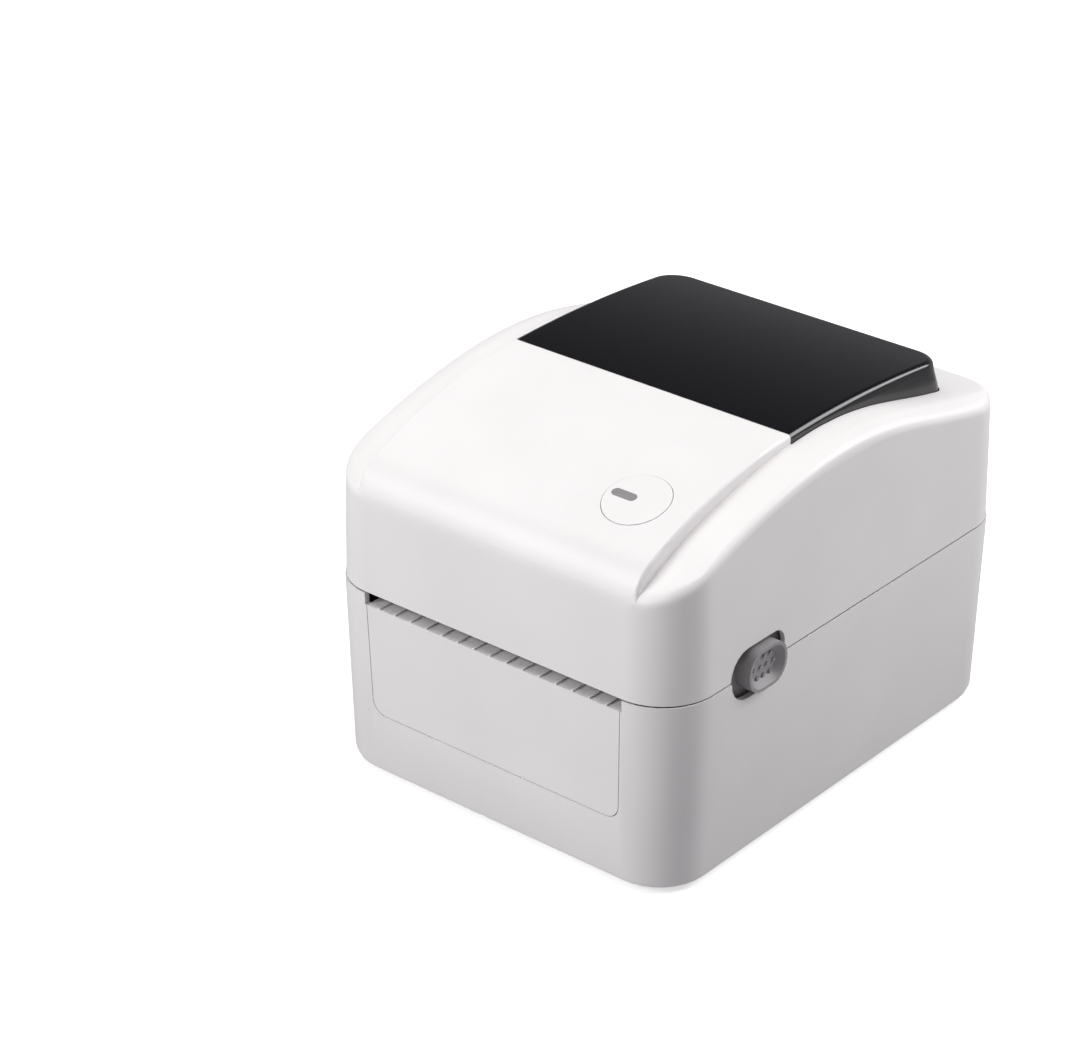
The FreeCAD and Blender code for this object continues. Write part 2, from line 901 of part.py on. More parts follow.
def front_panel():
    """Curved skin below the mouth, with a ribbed lip that the label slides over."""
    outside = housing(0, foot_drop, seam_z)
    shell = outside.cut(housing(front_panel_thickness, foot_drop, seam_z))
    face = shell.common(prism_y(front_panel_outline(0), front_y - wall, front_y + 2 * wall))
    half = front_panel_half_width
    lip_y0 = front_y - wall
    lip_y1 = front_y + lip_depth
    lip_low = lip_z - lip_thickness
    lip = block(-half, half, lip_y0, lip_y1, lip_low, lip_z)
    ribs = []
    for index in range(lip_rib_count):
        x0 = (index - (lip_rib_count - 1) / 2) * lip_rib_pitch - lip_rib_width / 2
        ribs.append(block(x0, x0 + lip_rib_width, lip_y0, lip_y1, lip_low, lip_z + lip_rib_height))
    return face.fuse(lip.fuse(ribs).common(outside)).removeSplitter()


def deck_ribs(sensor_front, sensor_rear):
    front = platen_y + frame_rear + 2 * deck_rib_width
    rear = bay_y - bay_radius - deck_rib_width
    top = deck_z + deck_rib_height
    ribs = []
    for index in range(deck_rib_count):
        x0 = (index - (deck_rib_count - 1) / 2) * deck_rib_pitch - deck_rib_width / 2
        x1 = x0 + deck_rib_width
        ribs.append(block(x0, x1, front, sensor_front - deck_rib_width, deck_middle, top))
        ribs.append(block(x0, x1, sensor_rear + deck_rib_width, rear, deck_middle, top))
    return ribs


def bay_liner():
    """Deck under the cover, with a round trough for the label roll and slots for what passes through."""
    below = deck_under - liner_wall / 2
    sensor_front = sensor_y - sensor_width / 2 - slide_gap
    sensor_rear = sensor_y + sensor_width / 2 + slide_gap
    trough = rod_x(bay_radius + liner_wall, -bay_outer, bay_outer, bay_y, deck_z)
    trough = trough.common(block(-side_x, side_x, front_y, rear_y, foot_drop, deck_z))
    additions = [trough] + deck_ribs(sensor_front, sensor_rear)
    for side in (-1, 1):
        boss_y = platen_y + frame_boss_setback
        additions.append(peg_z(frame_boss_radius, frame_floor_top, deck_middle, side * frame_boss_x, boss_y))
    body = housing(wall + liner_gap, deck_under, deck_z).fuse(additions)
    slot_half = bushing_end + slide_gap
    slot_front = platen_y - frame_front - slide_gap
    slot_rear = platen_y + frame_rear + slide_gap
    gear_half = gear_module * (platen_teeth / 2 + 1) + slide_gap
    hook_x = latch_inner - latch_hook_width - slide_gap
    hook_y0 = latch_plate_front - latch_travel - liner_gap
    hook_y1 = latch_plate_rear + liner_gap
    key_half = guide_slot_width / 2
    key_x = bay_half - guide_slot_margin
    key_top = deck_z - bay_radius + 2 * liner_wall
    ear_x0 = ear_centre - ear_width / 2 - liner_gap
    ear_x1 = ear_centre + ear_width / 2 + liner_gap
    sensor_half = sensor_slot_length / 2
    cuts = [
        rod_x(bay_radius, -bay_half, bay_half, bay_y, deck_z),
        mouth_gap(slot_front, below),
        block(-slot_half, slot_half, slot_front, slot_rear, below, seam_z),
        block(inner_gear_start - slide_gap, 0, platen_y - gear_half, platen_y + gear_half, below, seam_z),
        block(-key_x, key_x, bay_y - key_half, bay_y + key_half, floor_top, key_top),
        block(-sensor_half, sensor_half, sensor_front, sensor_rear, below, seam_z),
        paper_slot(bay_y + bay_radius / 2),
    ]
    cuts += both_sides(block(hook_x, side_x, hook_y0, hook_y1, below, seam_z))
    cuts += both_sides(block(ear_x0, ear_x1, hinge_y - ear_radius - liner_gap, rear_y, below, seam_z))
    cuts += [peg_z(screw_radius + seat_gap, below, seam_z, x, y, screw_flats) for x, y in liner_bosses()]
    return body.cut(cuts).removeSplitter()


def screw_down(x, y, z):
    """Hexagon-head screw that stands on a face at z and runs down from it."""
    head = peg_z(screw_head_radius, z, z + screw_head, x, y, screw_flats)
    return head.fuse(peg_z(screw_radius, z - screw_length, z, x, y, screw_flats))


def screw_up(x, y, z):
    head = peg_z(screw_head_radius, z - screw_head, z, x, y, screw_flats)
    return head.fuse(peg_z(screw_radius, z, z + screw_length, x, y, screw_flats))


# Print frame, platen and gear train

def print_frame():
    """Folded sheet that carries the platen between two side plates, the motor on the left one."""
    front = platen_y - frame_front
    rear = platen_y + frame_rear
    top = platen_z + frame_top
    low = frame_floor_top - frame_sheet
    motor_low = motor_z - motor_size / 2
    motor_rear = motor_y + motor_size / 2
    outline = [(front, top), (rear, top), (rear, frame_floor_top), (motor_rear, frame_floor_top)]
    outline += [(motor_rear, motor_low), (front, motor_low)]
    floor = block(-frame_outer, frame_outer, front, platen_y + frame_floor_rear, low, frame_floor_top)
    right = block(frame_inner, frame_outer, front, rear, low, top)
    left = prism_x(outline, -frame_outer, -frame_inner)
    cuts = [
        peg_x(bushing_radius + seat_gap, -frame_outer, frame_outer, platen_y, platen_z),
        socket_x(stud_radius + seat_gap, -frame_outer, -frame_inner, reduction_y, reduction_z),
        peg_x(motor_boss_radius + seat_gap, -frame_outer, -frame_inner, motor_y, motor_z, wide_flats),
    ]
    return floor.fuse([right, left]).cut(cuts).removeSplitter()


def platen_bushing():
    x0 = frame_inner - bushing_flange
    body = peg_x(bushing_radius, x0, bushing_end, platen_y, platen_z)
    body = body.fuse(peg_x(bushing_flange_radius, x0, frame_inner, platen_y, platen_z))
    return body.cut(rod_x(shaft_radius + running_gap, x0, bushing_end, platen_y, platen_z))


def platen_shaft():
    return rod_x(shaft_radius, inner_gear_start, bushing_end, platen_y, platen_z)


def platen_rubber():
    tube = rod_x(platen_radius, -platen_half, platen_half, platen_y, platen_z)
    return tube.cut(rod_x(shaft_radius + seat_gap, -platen_half, platen_half, platen_y, platen_z))


def platen_gear():
    toward = -math.radians(reduction_bearing)
    body = gear_x(platen_teeth, toward, inner_gear_start, inner_gear_end, platen_y, platen_z)
    return body.cut(socket_x(shaft_radius + seat_gap, inner_gear_start, inner_gear_end, platen_y, platen_z))


def reduction_gear():
    """Large and small gear in one, meshing with the motor's pinion and the platen's gear."""
    gap_turn = math.pi - math.radians(reduction_bearing) + math.pi / reduction_small_teeth
    toward = -math.radians(motor_bearing)
    axis = (reduction_y, reduction_z)
    small = gear_x(reduction_small_teeth, gap_turn, inner_gear_start, inner_gear_end, *axis)
    large = gear_x(reduction_large_teeth, toward, outer_gear_start, outer_gear_end, *axis)
    hub = peg_x(reduction_hub_radius, outer_gear_end, inner_gear_start, *axis)
    bore = socket_x(stud_radius + running_gap, outer_gear_start, inner_gear_end, *axis)
    return small.fuse([large, hub]).cut(bore)


def gear_stud():
    head_end = outer_gear_start - slide_gap / 2
    head = peg_x(stud_head_radius, head_end - stud_head, head_end, reduction_y, reduction_z)
    return head.fuse(rod_x(stud_radius, head_end, -frame_inner, reduction_y, reduction_z))


def stepper_motor():
    half = motor_size / 2
    front = -frame_inner - motor_boss
    outline = rectangle(motor_y - half, motor_y + half, motor_z - half, motor_z + half, motor_corner)
    body = prism_x(outline, -frame_inner, motor_length - frame_inner)
    body = body.fuse(peg_x(motor_boss_radius, front, -frame_inner, motor_y, motor_z, wide_flats))
    socket_end = motor_shaft_socket - frame_inner
    return body.cut(rod_x(motor_shaft_radius + running_gap, front, socket_end, motor_y, motor_z))


def motor_shaft():
    return rod_x(motor_shaft_radius, outer_gear_start, motor_shaft_socket - frame_inner, motor_y, motor_z)


def motor_pinion():
    gap_turn = math.pi - math.radians(motor_bearing) + math.pi / motor_teeth
    body = gear_x(motor_teeth, gap_turn, outer_gear_start, outer_gear_end, motor_y, motor_z)
    bore = socket_x(motor_shaft_radius + seat_gap, outer_gear_start, outer_gear_end, motor_y, motor_z)
    return body.cut(bore)


# Electronics at the rear of the base

def main_board():
    half = board_half_width
    return block(-half, half, board_rear - board_length, board_rear, board_z, board_top)


def rear_face(z):
    """Depth of the rear wall's outer face at a height, less the sockets' recess."""
    return rear_y - (seam_z - z) * draft - socket_recess


def usb_socket():
    rear = rear_face(board_top)
    half = usb_width / 2
    bottom = rear - usb_mouth_depth
    inside = half - usb_shell
    tongue = usb_tongue_width / 2
    top = board_top + usb_height
    tongue_z = (board_top + top - usb_tongue_height) / 2
    body = block(usb_x - half, usb_x + half, rear - usb_depth, rear, board_top, top)
    cavity = block(usb_x - inside, usb_x + inside, bottom, rear, board_top + usb_shell, top - usb_shell)
    tongue_top = tongue_z + usb_tongue_height
    plate = block(usb_x - tongue, usb_x + tongue, bottom, rear - usb_shell, tongue_z, tongue_top)
    return body.cut(cavity).fuse(plate)


def power_jack():
    rear = rear_face(board_top)
    half = jack_width / 2
    bottom = rear - jack_bore_depth
    middle = board_top + jack_height / 2
    body = block(jack_x - half, jack_x + half, rear - jack_depth, rear, board_top, board_top + jack_height)
    body = body.cut(peg_y(jack_bore, bottom, rear, jack_x, middle, wide_flats))
    return body.fuse(peg_y(jack_pin_radius, bottom, rear - jack_pin_recess, jack_x, middle))


rocker_z = switch_z + switch_tall / 2
rocker_y = rear_face(rocker_z) - rocker_depth


def switch_housing():
    rear = rear_face(rocker_z)
    half = switch_width / 2
    tall = switch_tall / 2
    inside = half - switch_rim
    open_half = tall - switch_rim
    bottom = rocker_y - rocker_back_radius - 2 * rocker_gap
    pivot = half - switch_rim / 2
    front = rear - switch_depth
    body = block(switch_x - half, switch_x + half, front, rear, rocker_z - tall, rocker_z + tall)
    return body.cut([
        block(switch_x - inside, switch_x + inside, bottom, rear, rocker_z - open_half, rocker_z + open_half),
        socket_x(rocker_pivot_radius + running_gap, switch_x - pivot, switch_x + pivot, rocker_y, rocker_z),
    ])


def power_rocker():
    """Rocker with two faces that meet at an angle, the lower one pressed level with the bezel."""
    reach = switch_tall / 2 - switch_rim - 2 * rocker_gap
    half = switch_width / 2 - switch_rim - rocker_gap
    pivot = (switch_width - switch_rim) / 2 - slide_gap
    turn = math.radians(rocker_throw)
    front = rocker_y + rocker_depth
    neck = rocker_y + rocker_back_radius
    tip_y = rocker_y + rocker_depth * math.cos(turn) + reach * math.sin(turn)
    tip_z = rocker_z + reach * math.cos(turn) - rocker_depth * math.sin(turn)
    outline = [
        (front, rocker_z - reach),
        (front, rocker_z - rocker_depth * math.tan(turn / 2)),
        (tip_y, tip_z),
        (neck, rocker_z + rocker_back_radius),
        (rocker_y, rocker_z + rocker_back_radius),
        (rocker_y, rocker_z - rocker_back_radius),
        (neck, rocker_z - rocker_back_radius),
    ]
    body = prism_x(outline, switch_x - half, switch_x + half)
    back = peg_x(rocker_back_radius, switch_x - half, switch_x + half, rocker_y, rocker_z)
    pins = rod_x(rocker_pivot_radius, switch_x - pivot, switch_x + pivot, rocker_y, rocker_z)
    return body.fuse([back, pins])


# Side latches, drawn on the right

def grip_dots(floor_x):
    centre_y = (latch_tab_front + latch_tab_rear) / 2
    dots = []
    for row, count in enumerate(grip_rows):
        z = seam_z + (row - (len(grip_rows) - 1) / 2) * grip_dot_pitch
        for index in range(count):
            y = centre_y + (index - (count - 1) / 2) * grip_dot_pitch
            dots.append(peg_x(grip_dot_radius, floor_x, floor_x + grip_dot_height, y, z, dot_flats))
    return dots


def latch():
    """Sliding plate with a dished thumb tab outside and a hook inside that holds the cover's striker."""
    low = seam_z - latch_plate_foot
    high = seam_z + latch_plate_head
    margin = latch_plate_margin
    plate_outline = [(latch_plate_front, low, margin), (latch_plate_rear, low, margin)]
    plate_outline += [(latch_plate_rear, high, margin), (latch_plate_front, high, latch_plate_head)]
    plate = prism_x(plate_outline, latch_inner, latch_outer)
    half = latch_tab_height / 2
    face_x = side_x + latch_tab_proud
    tab_outline = rectangle(latch_tab_front, latch_tab_rear, seam_z - half, seam_z + half, latch_tab_corner)
    tab = prism_x(tab_outline, latch_inner, face_x)
    rings = []
    for depth, inset in ((0, latch_rim), (latch_dish_depth, latch_rim + latch_dish_draft)):
        outline = rectangle(latch_tab_front + inset, latch_tab_rear - inset, seam_z - half + inset,
                            seam_z + half - inset, latch_tab_corner - inset)
        rings.append(loop(outline, lambda a, b: Vector(face_x - depth, a, b)))
    tab = tab.cut(skin(rings))
    hook_x = latch_inner - latch_hook_width
    hook_top = seam_z + latch_hook_rise
    nose_low = hook_top - latch_nose_height
    hook = block(hook_x, latch_outer, hook_front, hook_rear, seam_z - latch_hook_foot, hook_top)
    nose = block(hook_x, latch_inner, hook_rear, hook_rear + latch_nose, nose_low, hook_top)
    return plate.fuse([tab, hook, nose] + grip_dots(face_x - latch_dish_depth)).removeSplitter()


def latch_spring():
    """Bowed strip between the carrier's post and the front edge of the latch plate."""
    x0 = (latch_inner + latch_outer) / 2
    y0 = latch_plate_front - slide_gap - latch_spring_length
    z0 = seam_z - latch_plate_foot + latch_plate_margin
    path = [(x0 - rise, y0 + run) for run, rise in bow(latch_spring_length, latch_spring_bow, spring_chords)]
    return prism_z(strip(path, spring_strip), z0, z0 + latch_spring_height)


# Label guides and media sensor

def label_guide():
    """Left holder: a plate with a hub for the roll's core, keyed through the slot to its rack."""
    x1 = -guide_rest
    x0 = x1 - guide_thickness
    foot_half = guide_foot_width / 2
    plate = peg_x(guide_head_radius, x0, x1, bay_y, deck_z, wide_flats)
    plate = plate.fuse(block(x0, x1, bay_y - foot_half, bay_y + foot_half, foot_drop, deck_z))
    plate = plate.common(rod_x(bay_radius - slide_gap, x0, x1, bay_y, deck_z))
    rings = []
    for x, radius in ((x1, guide_hub_radius), (x1 + guide_hub_length, guide_hub_tip_radius)):
        rings.append(loop(polygon(radius, bay_y, deck_z, wide_flats), lambda a, b: Vector(x, a, b)))
    hub = skin(rings)
    key_half = guide_slot_width / 2 - slide_gap
    rack_top = rack_z + rack_thickness
    pitch_y = bay_y + guide_pitch
    rack_back = pitch_y + tooth_dedendum * rack_module + rack_width
    key = block(x0, x1, bay_y - key_half, bay_y + key_half, rack_z, deck_z - bay_radius + liner_wall)
    arm = block(x0, x1, bay_y - key_half, rack_back, rack_z, rack_top)
    rack = prism_z(rack_points(x0, x0 + rack_reach, pitch_y, -1), rack_z, rack_top)
    return plate.fuse([hub, key, arm, rack]).removeSplitter()


def guide_pinion():
    phase = math.pi / 2 + math.pi / guide_teeth
    points = [(a, bay_y + b) for a, b in gear_points(guide_teeth, rack_module, phase)]
    bore = (pinion_stud_radius + running_gap) / math.cos(math.pi / peg_flats)
    body = prism_z(points, rack_z, rack_z + rack_thickness)
    return body.cut(peg_z(bore, rack_z, rack_z + rack_thickness, 0, bay_y))


def media_sensor():
    half = sensor_length / 2
    wide = half + sensor_flange
    y0 = sensor_y - sensor_width / 2
    y1 = sensor_y + sensor_width / 2
    flange_top = deck_under - slide_gap
    flange_low = flange_top - sensor_flange_thickness
    body = block(-half, half, y0, y1, deck_z - sensor_height, deck_z + sensor_proud)
    return body.fuse(block(-wide, wide, y0 - sensor_flange, y1 + sensor_flange, flange_low, flange_top))


# Feed button: places along the panel's normal at the button's centre

button_y = front_y + button_setback
button_z = circle_z(panel_centre, panel_arch_radius, button_y)
panel_up = Vector(0, button_y - panel_centre.x, button_z - panel_centre.y).normalize()
panel_ahead = Vector(0, panel_up.z, -panel_up.y)
button_board_depth = button_skirt_depth + button_skirt + button_stem + button_travel_room + switch_height


def on_panel(x, depth, ahead):
    return Vector(x, button_y, button_z) - panel_up * depth + panel_ahead * ahead


def panel_post(outline, shallow, deep):
    return prism(loop(outline, lambda a, b: on_panel(a, deep, b)), panel_up * (deep - shallow))


def panel_disc(radius, shallow, deep, x, flats):
    return panel_post(polygon(radius, x, 0, flats), shallow, deep)


def lens_block(grow, deep):
    x = button_x - lens_offset
    half = lens_length / 2 + grow
    wide = lens_width / 2 + grow
    return panel_post(rectangle(x - half, x + half, -wide, wide, wide), -wall, deep)


def feed_button():
    """Round cap in the panel's own curve, with a flange that keeps it under the panel and a stem."""
    radius = button_radius - button_gap
    flange_low = button_skirt_depth + button_skirt
    cap = panel_disc(radius, -wall, flange_low, button_x, button_flats).common(panel_prism(0, panel_edge))
    body = cap.fuse([
        panel_disc(button_skirt_radius, button_skirt_depth, flange_low, button_x, wide_flats),
        panel_disc(button_stem_radius, flange_low, flange_low + button_stem, button_x, peg_flats),
    ])
    return body.cut(lens_block(lens_gap, lens_depth + wall))


def status_lens():
    return lens_block(0, lens_depth).common(panel_prism(0, panel_edge))


def button_board():
    half = button_board_length / 2
    wide = button_board_width / 2
    cap = switch_cap / 2
    deep = button_board_depth
    board_outline = rectangle(button_x - half, button_x + half, -wide, wide)
    switch_outline = rectangle(button_x - cap, button_x + cap, -cap, cap)
    board = panel_post(board_outline, deep, deep + board_thickness)
    return board.fuse(panel_post(switch_outline, deep - switch_height, deep))


# Cover pieces

def cover_bosses():
    places = (front_y + cover_boss_front, front_y + cover_boss_rear)
    return [(side * cover_boss_x, y) for y in places for side in (-1, 1)]


def hinge_lugs():
    """Two lugs inside the rear wall, one on each side of the right-hand ear."""
    lugs = []
    reach = ear_width / 2 + ear_side_gap + slide_gap
    outline = rectangle(hinge_y - lug_reach, rear_y - wall / 2, hinge_z - lug_reach, hinge_z + lug_rise)
    for x0 in (ear_centre - reach - lug_width, ear_centre + reach):
        lug = prism_x(outline, x0, x0 + lug_width)
        lugs.append(lug.cut(socket_x(hinge_pin_radius + seat_gap, x0, x0 + lug_width, hinge_y, hinge_z)))
    return lugs


def hinge_pin():
    reach = ear_width / 2 + ear_side_gap + slide_gap + lug_width
    return rod_x(hinge_pin_radius, ear_centre - reach, ear_centre + reach, hinge_y, hinge_z)


def top_cover():
    roof = under_shoulders(0).fuse(panel_prism(0, panel_edge))
    outer = housing(0, cover_bottom, above_all).common(roof)
    hollow = under_shoulders(wall).fuse(panel_prism(wall, panel_edge))
    body = outer.cut(housing(wall, seam_z, above_all).common(hollow))
    additions = []
    for lug in hinge_lugs():
        additions += both_sides(lug)
    for x, y in cover_bosses():
        boss = peg_z(cover_boss_radius, liner_top, above_all, x, y)
        bore = peg_z(screw_radius + seat_gap, liner_top, liner_top + screw_length, x, y, screw_flats)
        additions.append(boss.cut(bore))
    for side in (-1, 1):
        post_x = button_x + side * board_post_x
        additions.append(panel_disc(board_post_radius, wall / 2, button_board_depth, post_x, peg_flats))
    body = body.fuse([piece.common(outer) for piece in additions])
    notch = ear_width / 2 + ear_side_gap
    notch_top = hinge_z + hinge_notch_rise
    cuts = both_sides(latch_slot())
    ear_notch = block(ear_centre - notch, ear_centre + notch, hinge_y, rear_y + wall, seam_z, notch_top)
    cuts += both_sides(ear_notch)
    cuts.append(window_prism(window_gap, -wall, 0))
    cuts.append(panel_disc(button_radius, -wall, button_skirt_depth, button_x, button_flats))
    return body.cut(cuts).removeSplitter()


def window():
    """Dark hood over the label bay, a skirt of it standing inside the shoulders."""
    outer = window_prism(0, 0, window_edge)
    inner = window_prism(-window_wall, window_wall, 0)
    inner = inner.cut(block(-side_x, side_x, front_y, window_front + window_wall, foot_drop, above_all))
    return outer.cut(inner).cut(under_shoulders(window_skirt)).removeSplitter()


def label_deflector():
    """Curved guide that leads the label from the roll down to the print head."""
    end_y = front_y + deflector_top_setback
    end_z = circle_z(panel_centre, panel_arch_radius - wall, end_y) - deflector_top_gap
    low = Vector(well_rear + well_wall / 2, liner_z, 0)
    along = Vector(end_y, end_z, 0) - low
    aside = Vector(along.y, -along.x, 0).normalize()
    path = []
    for run, rise in bow(1.0, deflector_bow, deflector_chords):
        point = low + along * run + aside * rise
        path.append((point.x, point.y))
    sheet = prism_x(strip(path, well_wall), -deflector_half_width, deflector_half_width)
    return sheet.common(block(-side_x, side_x, front_y, rear_y, liner_z, above_all))


def cover_liner():
    """Floor of the cover's front half, with a well for the print head and a striker for each latch."""
    front = front_y + blade_setback + blade_thickness
    rear = well_rear + well_wall
    well_x = well_half + well_wall
    well_top = liner_z + well_height
    blade_top = cover_bottom + blade_tip_rise + blade_height
    latch_y0 = latch_plate_front - latch_travel - well_wall
    latch_y1 = latch_plate_rear + well_wall
    pivot_y = platen_y + head_pivot_back
    pivot_z = bracket_z + head_pivot_rise
    plate = housing(wall + cover_liner_gap, liner_z, liner_top)
    plate = plate.common(block(-side_x, side_x, front, rear, liner_z, liner_top))
    plate = plate.cut(both_sides(block(striker_hook, side_x, latch_y0, latch_y1, liner_z, liner_top)))
    well = block(-well_x, well_x, well_front - well_wall, rear, liner_z, well_top + well_wall)
    backing = block(-blade_half_length, blade_half_length, front, front + blade_backing, liner_z, blade_top)
    striker = block(striker_inner, latch_inner - 2 * slide_gap, striker_front, striker_front + striker_length,
                    liner_z, liner_z + striker_height)
    body = plate.fuse([well, backing, label_deflector()] + both_sides(striker))
    cuts = [
        block(-well_half, well_half, well_front, well_rear, cover_bottom, well_top),
        rod_x(head_pivot_radius + running_gap, -well_x, well_x, pivot_y, pivot_z),
    ]
    for x, y in cover_bosses():
        cuts.append(peg_z(screw_radius + seat_gap, cover_bottom, liner_top, x, y, screw_flats))
    return body.cut(cuts).removeSplitter()


def tear_blade():
    """Steel strip behind the mouth's upper edge, with saw teeth along its lower edge."""
    tip = cover_bottom + blade_tip_rise
    count = int(2 * blade_half_length / blade_tooth_pitch)
    half = count * blade_tooth_pitch / 2
    corners = [(half, tip + blade_height), (-half, tip + blade_height), (-half, tip + blade_tooth_depth)]
    for tooth in range(count):
        x = -half + tooth * blade_tooth_pitch
        corners += [(x + blade_tooth_pitch / 2, tip), (x + blade_tooth_pitch, tip + blade_tooth_depth)]
    return prism_y(corners, front_y + blade_setback, front_y + blade_setback + blade_thickness)


# Print head, hung in the cover's well

def head_substrate():
    y0 = platen_y - head_front
    y1 = platen_y + head_rear
    return block(-head_half_length, head_half_length, y0, y1, head_z, sink_z)


def head_heatsink():
    y0 = platen_y - sink_front
    depth = sink_front + sink_rear
    half = sink_half_length
    grooves = []
    for index in range(sink_groove_count):
        y = y0 + depth * (index + 1) / (sink_groove_count + 1) - sink_groove / 2
        grooves.append(block(-half, half, y, y + sink_groove, bracket_z - sink_groove, bracket_z))
    return block(-half, half, y0, y0 + depth, sink_z, bracket_z).cut(grooves)


def head_bracket():
    half = sink_half_length + frame_sheet
    rear = platen_y + bracket_rear
    ear_x = half - frame_sheet
    ear_top = bracket_z + bracket_ear_height
    pivot_y = platen_y + head_pivot_back
    pivot_z = bracket_z + head_pivot_rise
    plate = block(-half, half, platen_y - sink_front, rear, bracket_z, bracket_z + frame_sheet)
    ear = block(ear_x, half, rear - bracket_ear, rear, bracket_z, ear_top)
    pin = rod_x(head_pivot_radius, half, well_half + well_wall, pivot_y, pivot_z)
    return plate.fuse(both_sides(ear) + both_sides(pin))


def head_spring():
    """Bowed strip between the well's roof and the head bracket."""
    low = bracket_z + frame_sheet + slide_gap + spring_strip
    rise = liner_z + well_height - slide_gap - spring_strip - low
    y0 = platen_y - sink_front
    x0 = head_spring_x - head_spring_width / 2
    path = [(y0 + run, low + lift) for run, lift in bow(head_spring_span, rise, spring_chords)]
    return prism_x(strip(path, spring_strip), x0, x0 + head_spring_width)


# The pieces, by name

right_latch = latch()
right_spring = latch_spring()
left_guide = label_guide()
right_guide = left_guide.copy()
right_guide.rotate(Vector(0, bay_y, 0), Vector(0, 0, 1), 180)

pieces = {
    "base_shell": base_shell(),
    "front_panel": front_panel(),
    "bay_liner": bay_liner(),
    "print_frame": print_frame(),
    "platen_bushing_right": platen_bushing(),
    "platen_bushing_left": mirrored(platen_bushing()),
    "gear_stud": gear_stud(),
    "stepper_motor": stepper_motor(),
    "main_board": main_board(),
    "usb_socket": usb_socket(),
    "power_jack": power_jack(),
    "switch_housing": switch_housing(),
    "power_rocker": power_rocker(),
    "platen_shaft": platen_shaft(),
    "platen_rubber": platen_rubber(),
    "platen_gear": platen_gear(),
    "reduction_gear": reduction_gear(),
    "motor_shaft": motor_shaft(),
    "motor_pinion": motor_pinion(),
    "latch_right": right_latch,
    "latch_left": mirrored(right_latch),
    "latch_spring_right": right_spring,
    "latch_spring_left": mirrored(right_spring),
    "label_guide_left": left_guide,
    "label_guide_right": right_guide,
    "guide_pinion": guide_pinion(),
    "media_sensor": media_sensor(),
    "top_cover": top_cover(),
    "window": window(),
    "cover_liner": cover_liner(),
    "tear_blade": tear_blade(),
    "button_board": button_board(),
    "feed_button": feed_button(),
    "status_lens": status_lens(),
    "hinge_pin_right": hinge_pin(),
    "hinge_pin_left": mirrored(hinge_pin()),
    "head_bracket": head_bracket(),
    "head_heatsink": head_heatsink(),
    "head_substrate": head_substrate(),
    "head_spring_right": head_spring(),
    "head_spring_left": mirrored(head_spring()),
}
corner_names = ("front_left", "front_right", "rear_left", "rear_right")
for name, (x, y) in zip(corner_names, foot_places()):
    pieces["foot_" + name] = foot(x, y)
for name, (x, y) in zip(corner_names, cover_bosses()):
    pieces["cover_screw_" + name] = screw_up(x, y, liner_z)
for name, (x, y) in zip(corner_names, liner_bosses()):
    pieces["liner_screw_" + name] = screw_down(x, y, deck_z)

os.makedirs("parts", exist_ok=True)
for name, shape in pieces.items():
    shape.exportStep("parts/" + name + ".step")
    print(name, len(shape.Solids), shape.isValid(), round(shape.Volume), shape.BoundBox)
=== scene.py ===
import math

import bmesh
import bpy
import numpy as np
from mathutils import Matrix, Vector


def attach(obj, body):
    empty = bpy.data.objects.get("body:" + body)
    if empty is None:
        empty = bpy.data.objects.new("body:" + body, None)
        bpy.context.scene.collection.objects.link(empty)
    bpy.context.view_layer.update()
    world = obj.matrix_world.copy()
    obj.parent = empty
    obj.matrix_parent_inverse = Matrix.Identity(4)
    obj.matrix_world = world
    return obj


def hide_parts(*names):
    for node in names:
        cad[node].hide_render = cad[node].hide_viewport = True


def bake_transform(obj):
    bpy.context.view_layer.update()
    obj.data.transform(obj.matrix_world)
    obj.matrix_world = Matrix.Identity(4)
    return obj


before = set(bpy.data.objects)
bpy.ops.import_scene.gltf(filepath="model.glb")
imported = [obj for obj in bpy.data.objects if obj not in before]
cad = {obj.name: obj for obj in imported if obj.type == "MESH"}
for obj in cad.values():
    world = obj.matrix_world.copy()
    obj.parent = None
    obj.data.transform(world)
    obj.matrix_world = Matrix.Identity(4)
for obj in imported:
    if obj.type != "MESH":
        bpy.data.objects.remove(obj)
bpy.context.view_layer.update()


# Base tub: the lower half of the housing, injection moulded in off-white ABS with 1.6 degrees of
# draft. It stands on four feet and carries every other piece; bosses inside take the deck's screws.

MM = 0.001
weld_reach = 0.002 * MM
chord_angle = math.radians(30)


def linear(hex_colour):
    """Linear RGBA of an sRGB hex colour."""
    shares = [int(hex_colour[i:i + 2], 16) / 255 for i in (1, 3, 5)]
    return [s / 12.92 if s <= 0.04045 else ((s + 0.055) / 1.055) ** 2.4 for s in shares] + [1.0]


def add(tree, kind, links=None, **settings):
    """New node in a tree: settings go to its properties or its sockets, links come from other sockets."""
    node = tree.nodes.new(kind)
    for name, value in settings.items():
        if hasattr(node, name):
            setattr(node, name, value)
        else:
            node.inputs[name.replace("_", " ")].default_value = value
    for name, source in (links or {}).items():
        tree.links.new(source, node.inputs[name])
    return node


def new_material(name):
    """Material with its node tree, its shader and the place on the piece that its patterns read."""
    material = bpy.data.materials.new(name)
    material.use_nodes = True
    tree = material.node_tree
    shader = tree.nodes["Principled BSDF"]
    place = add(tree, "ShaderNodeTexCoord").outputs["Object"]
    return material, tree, shader, place


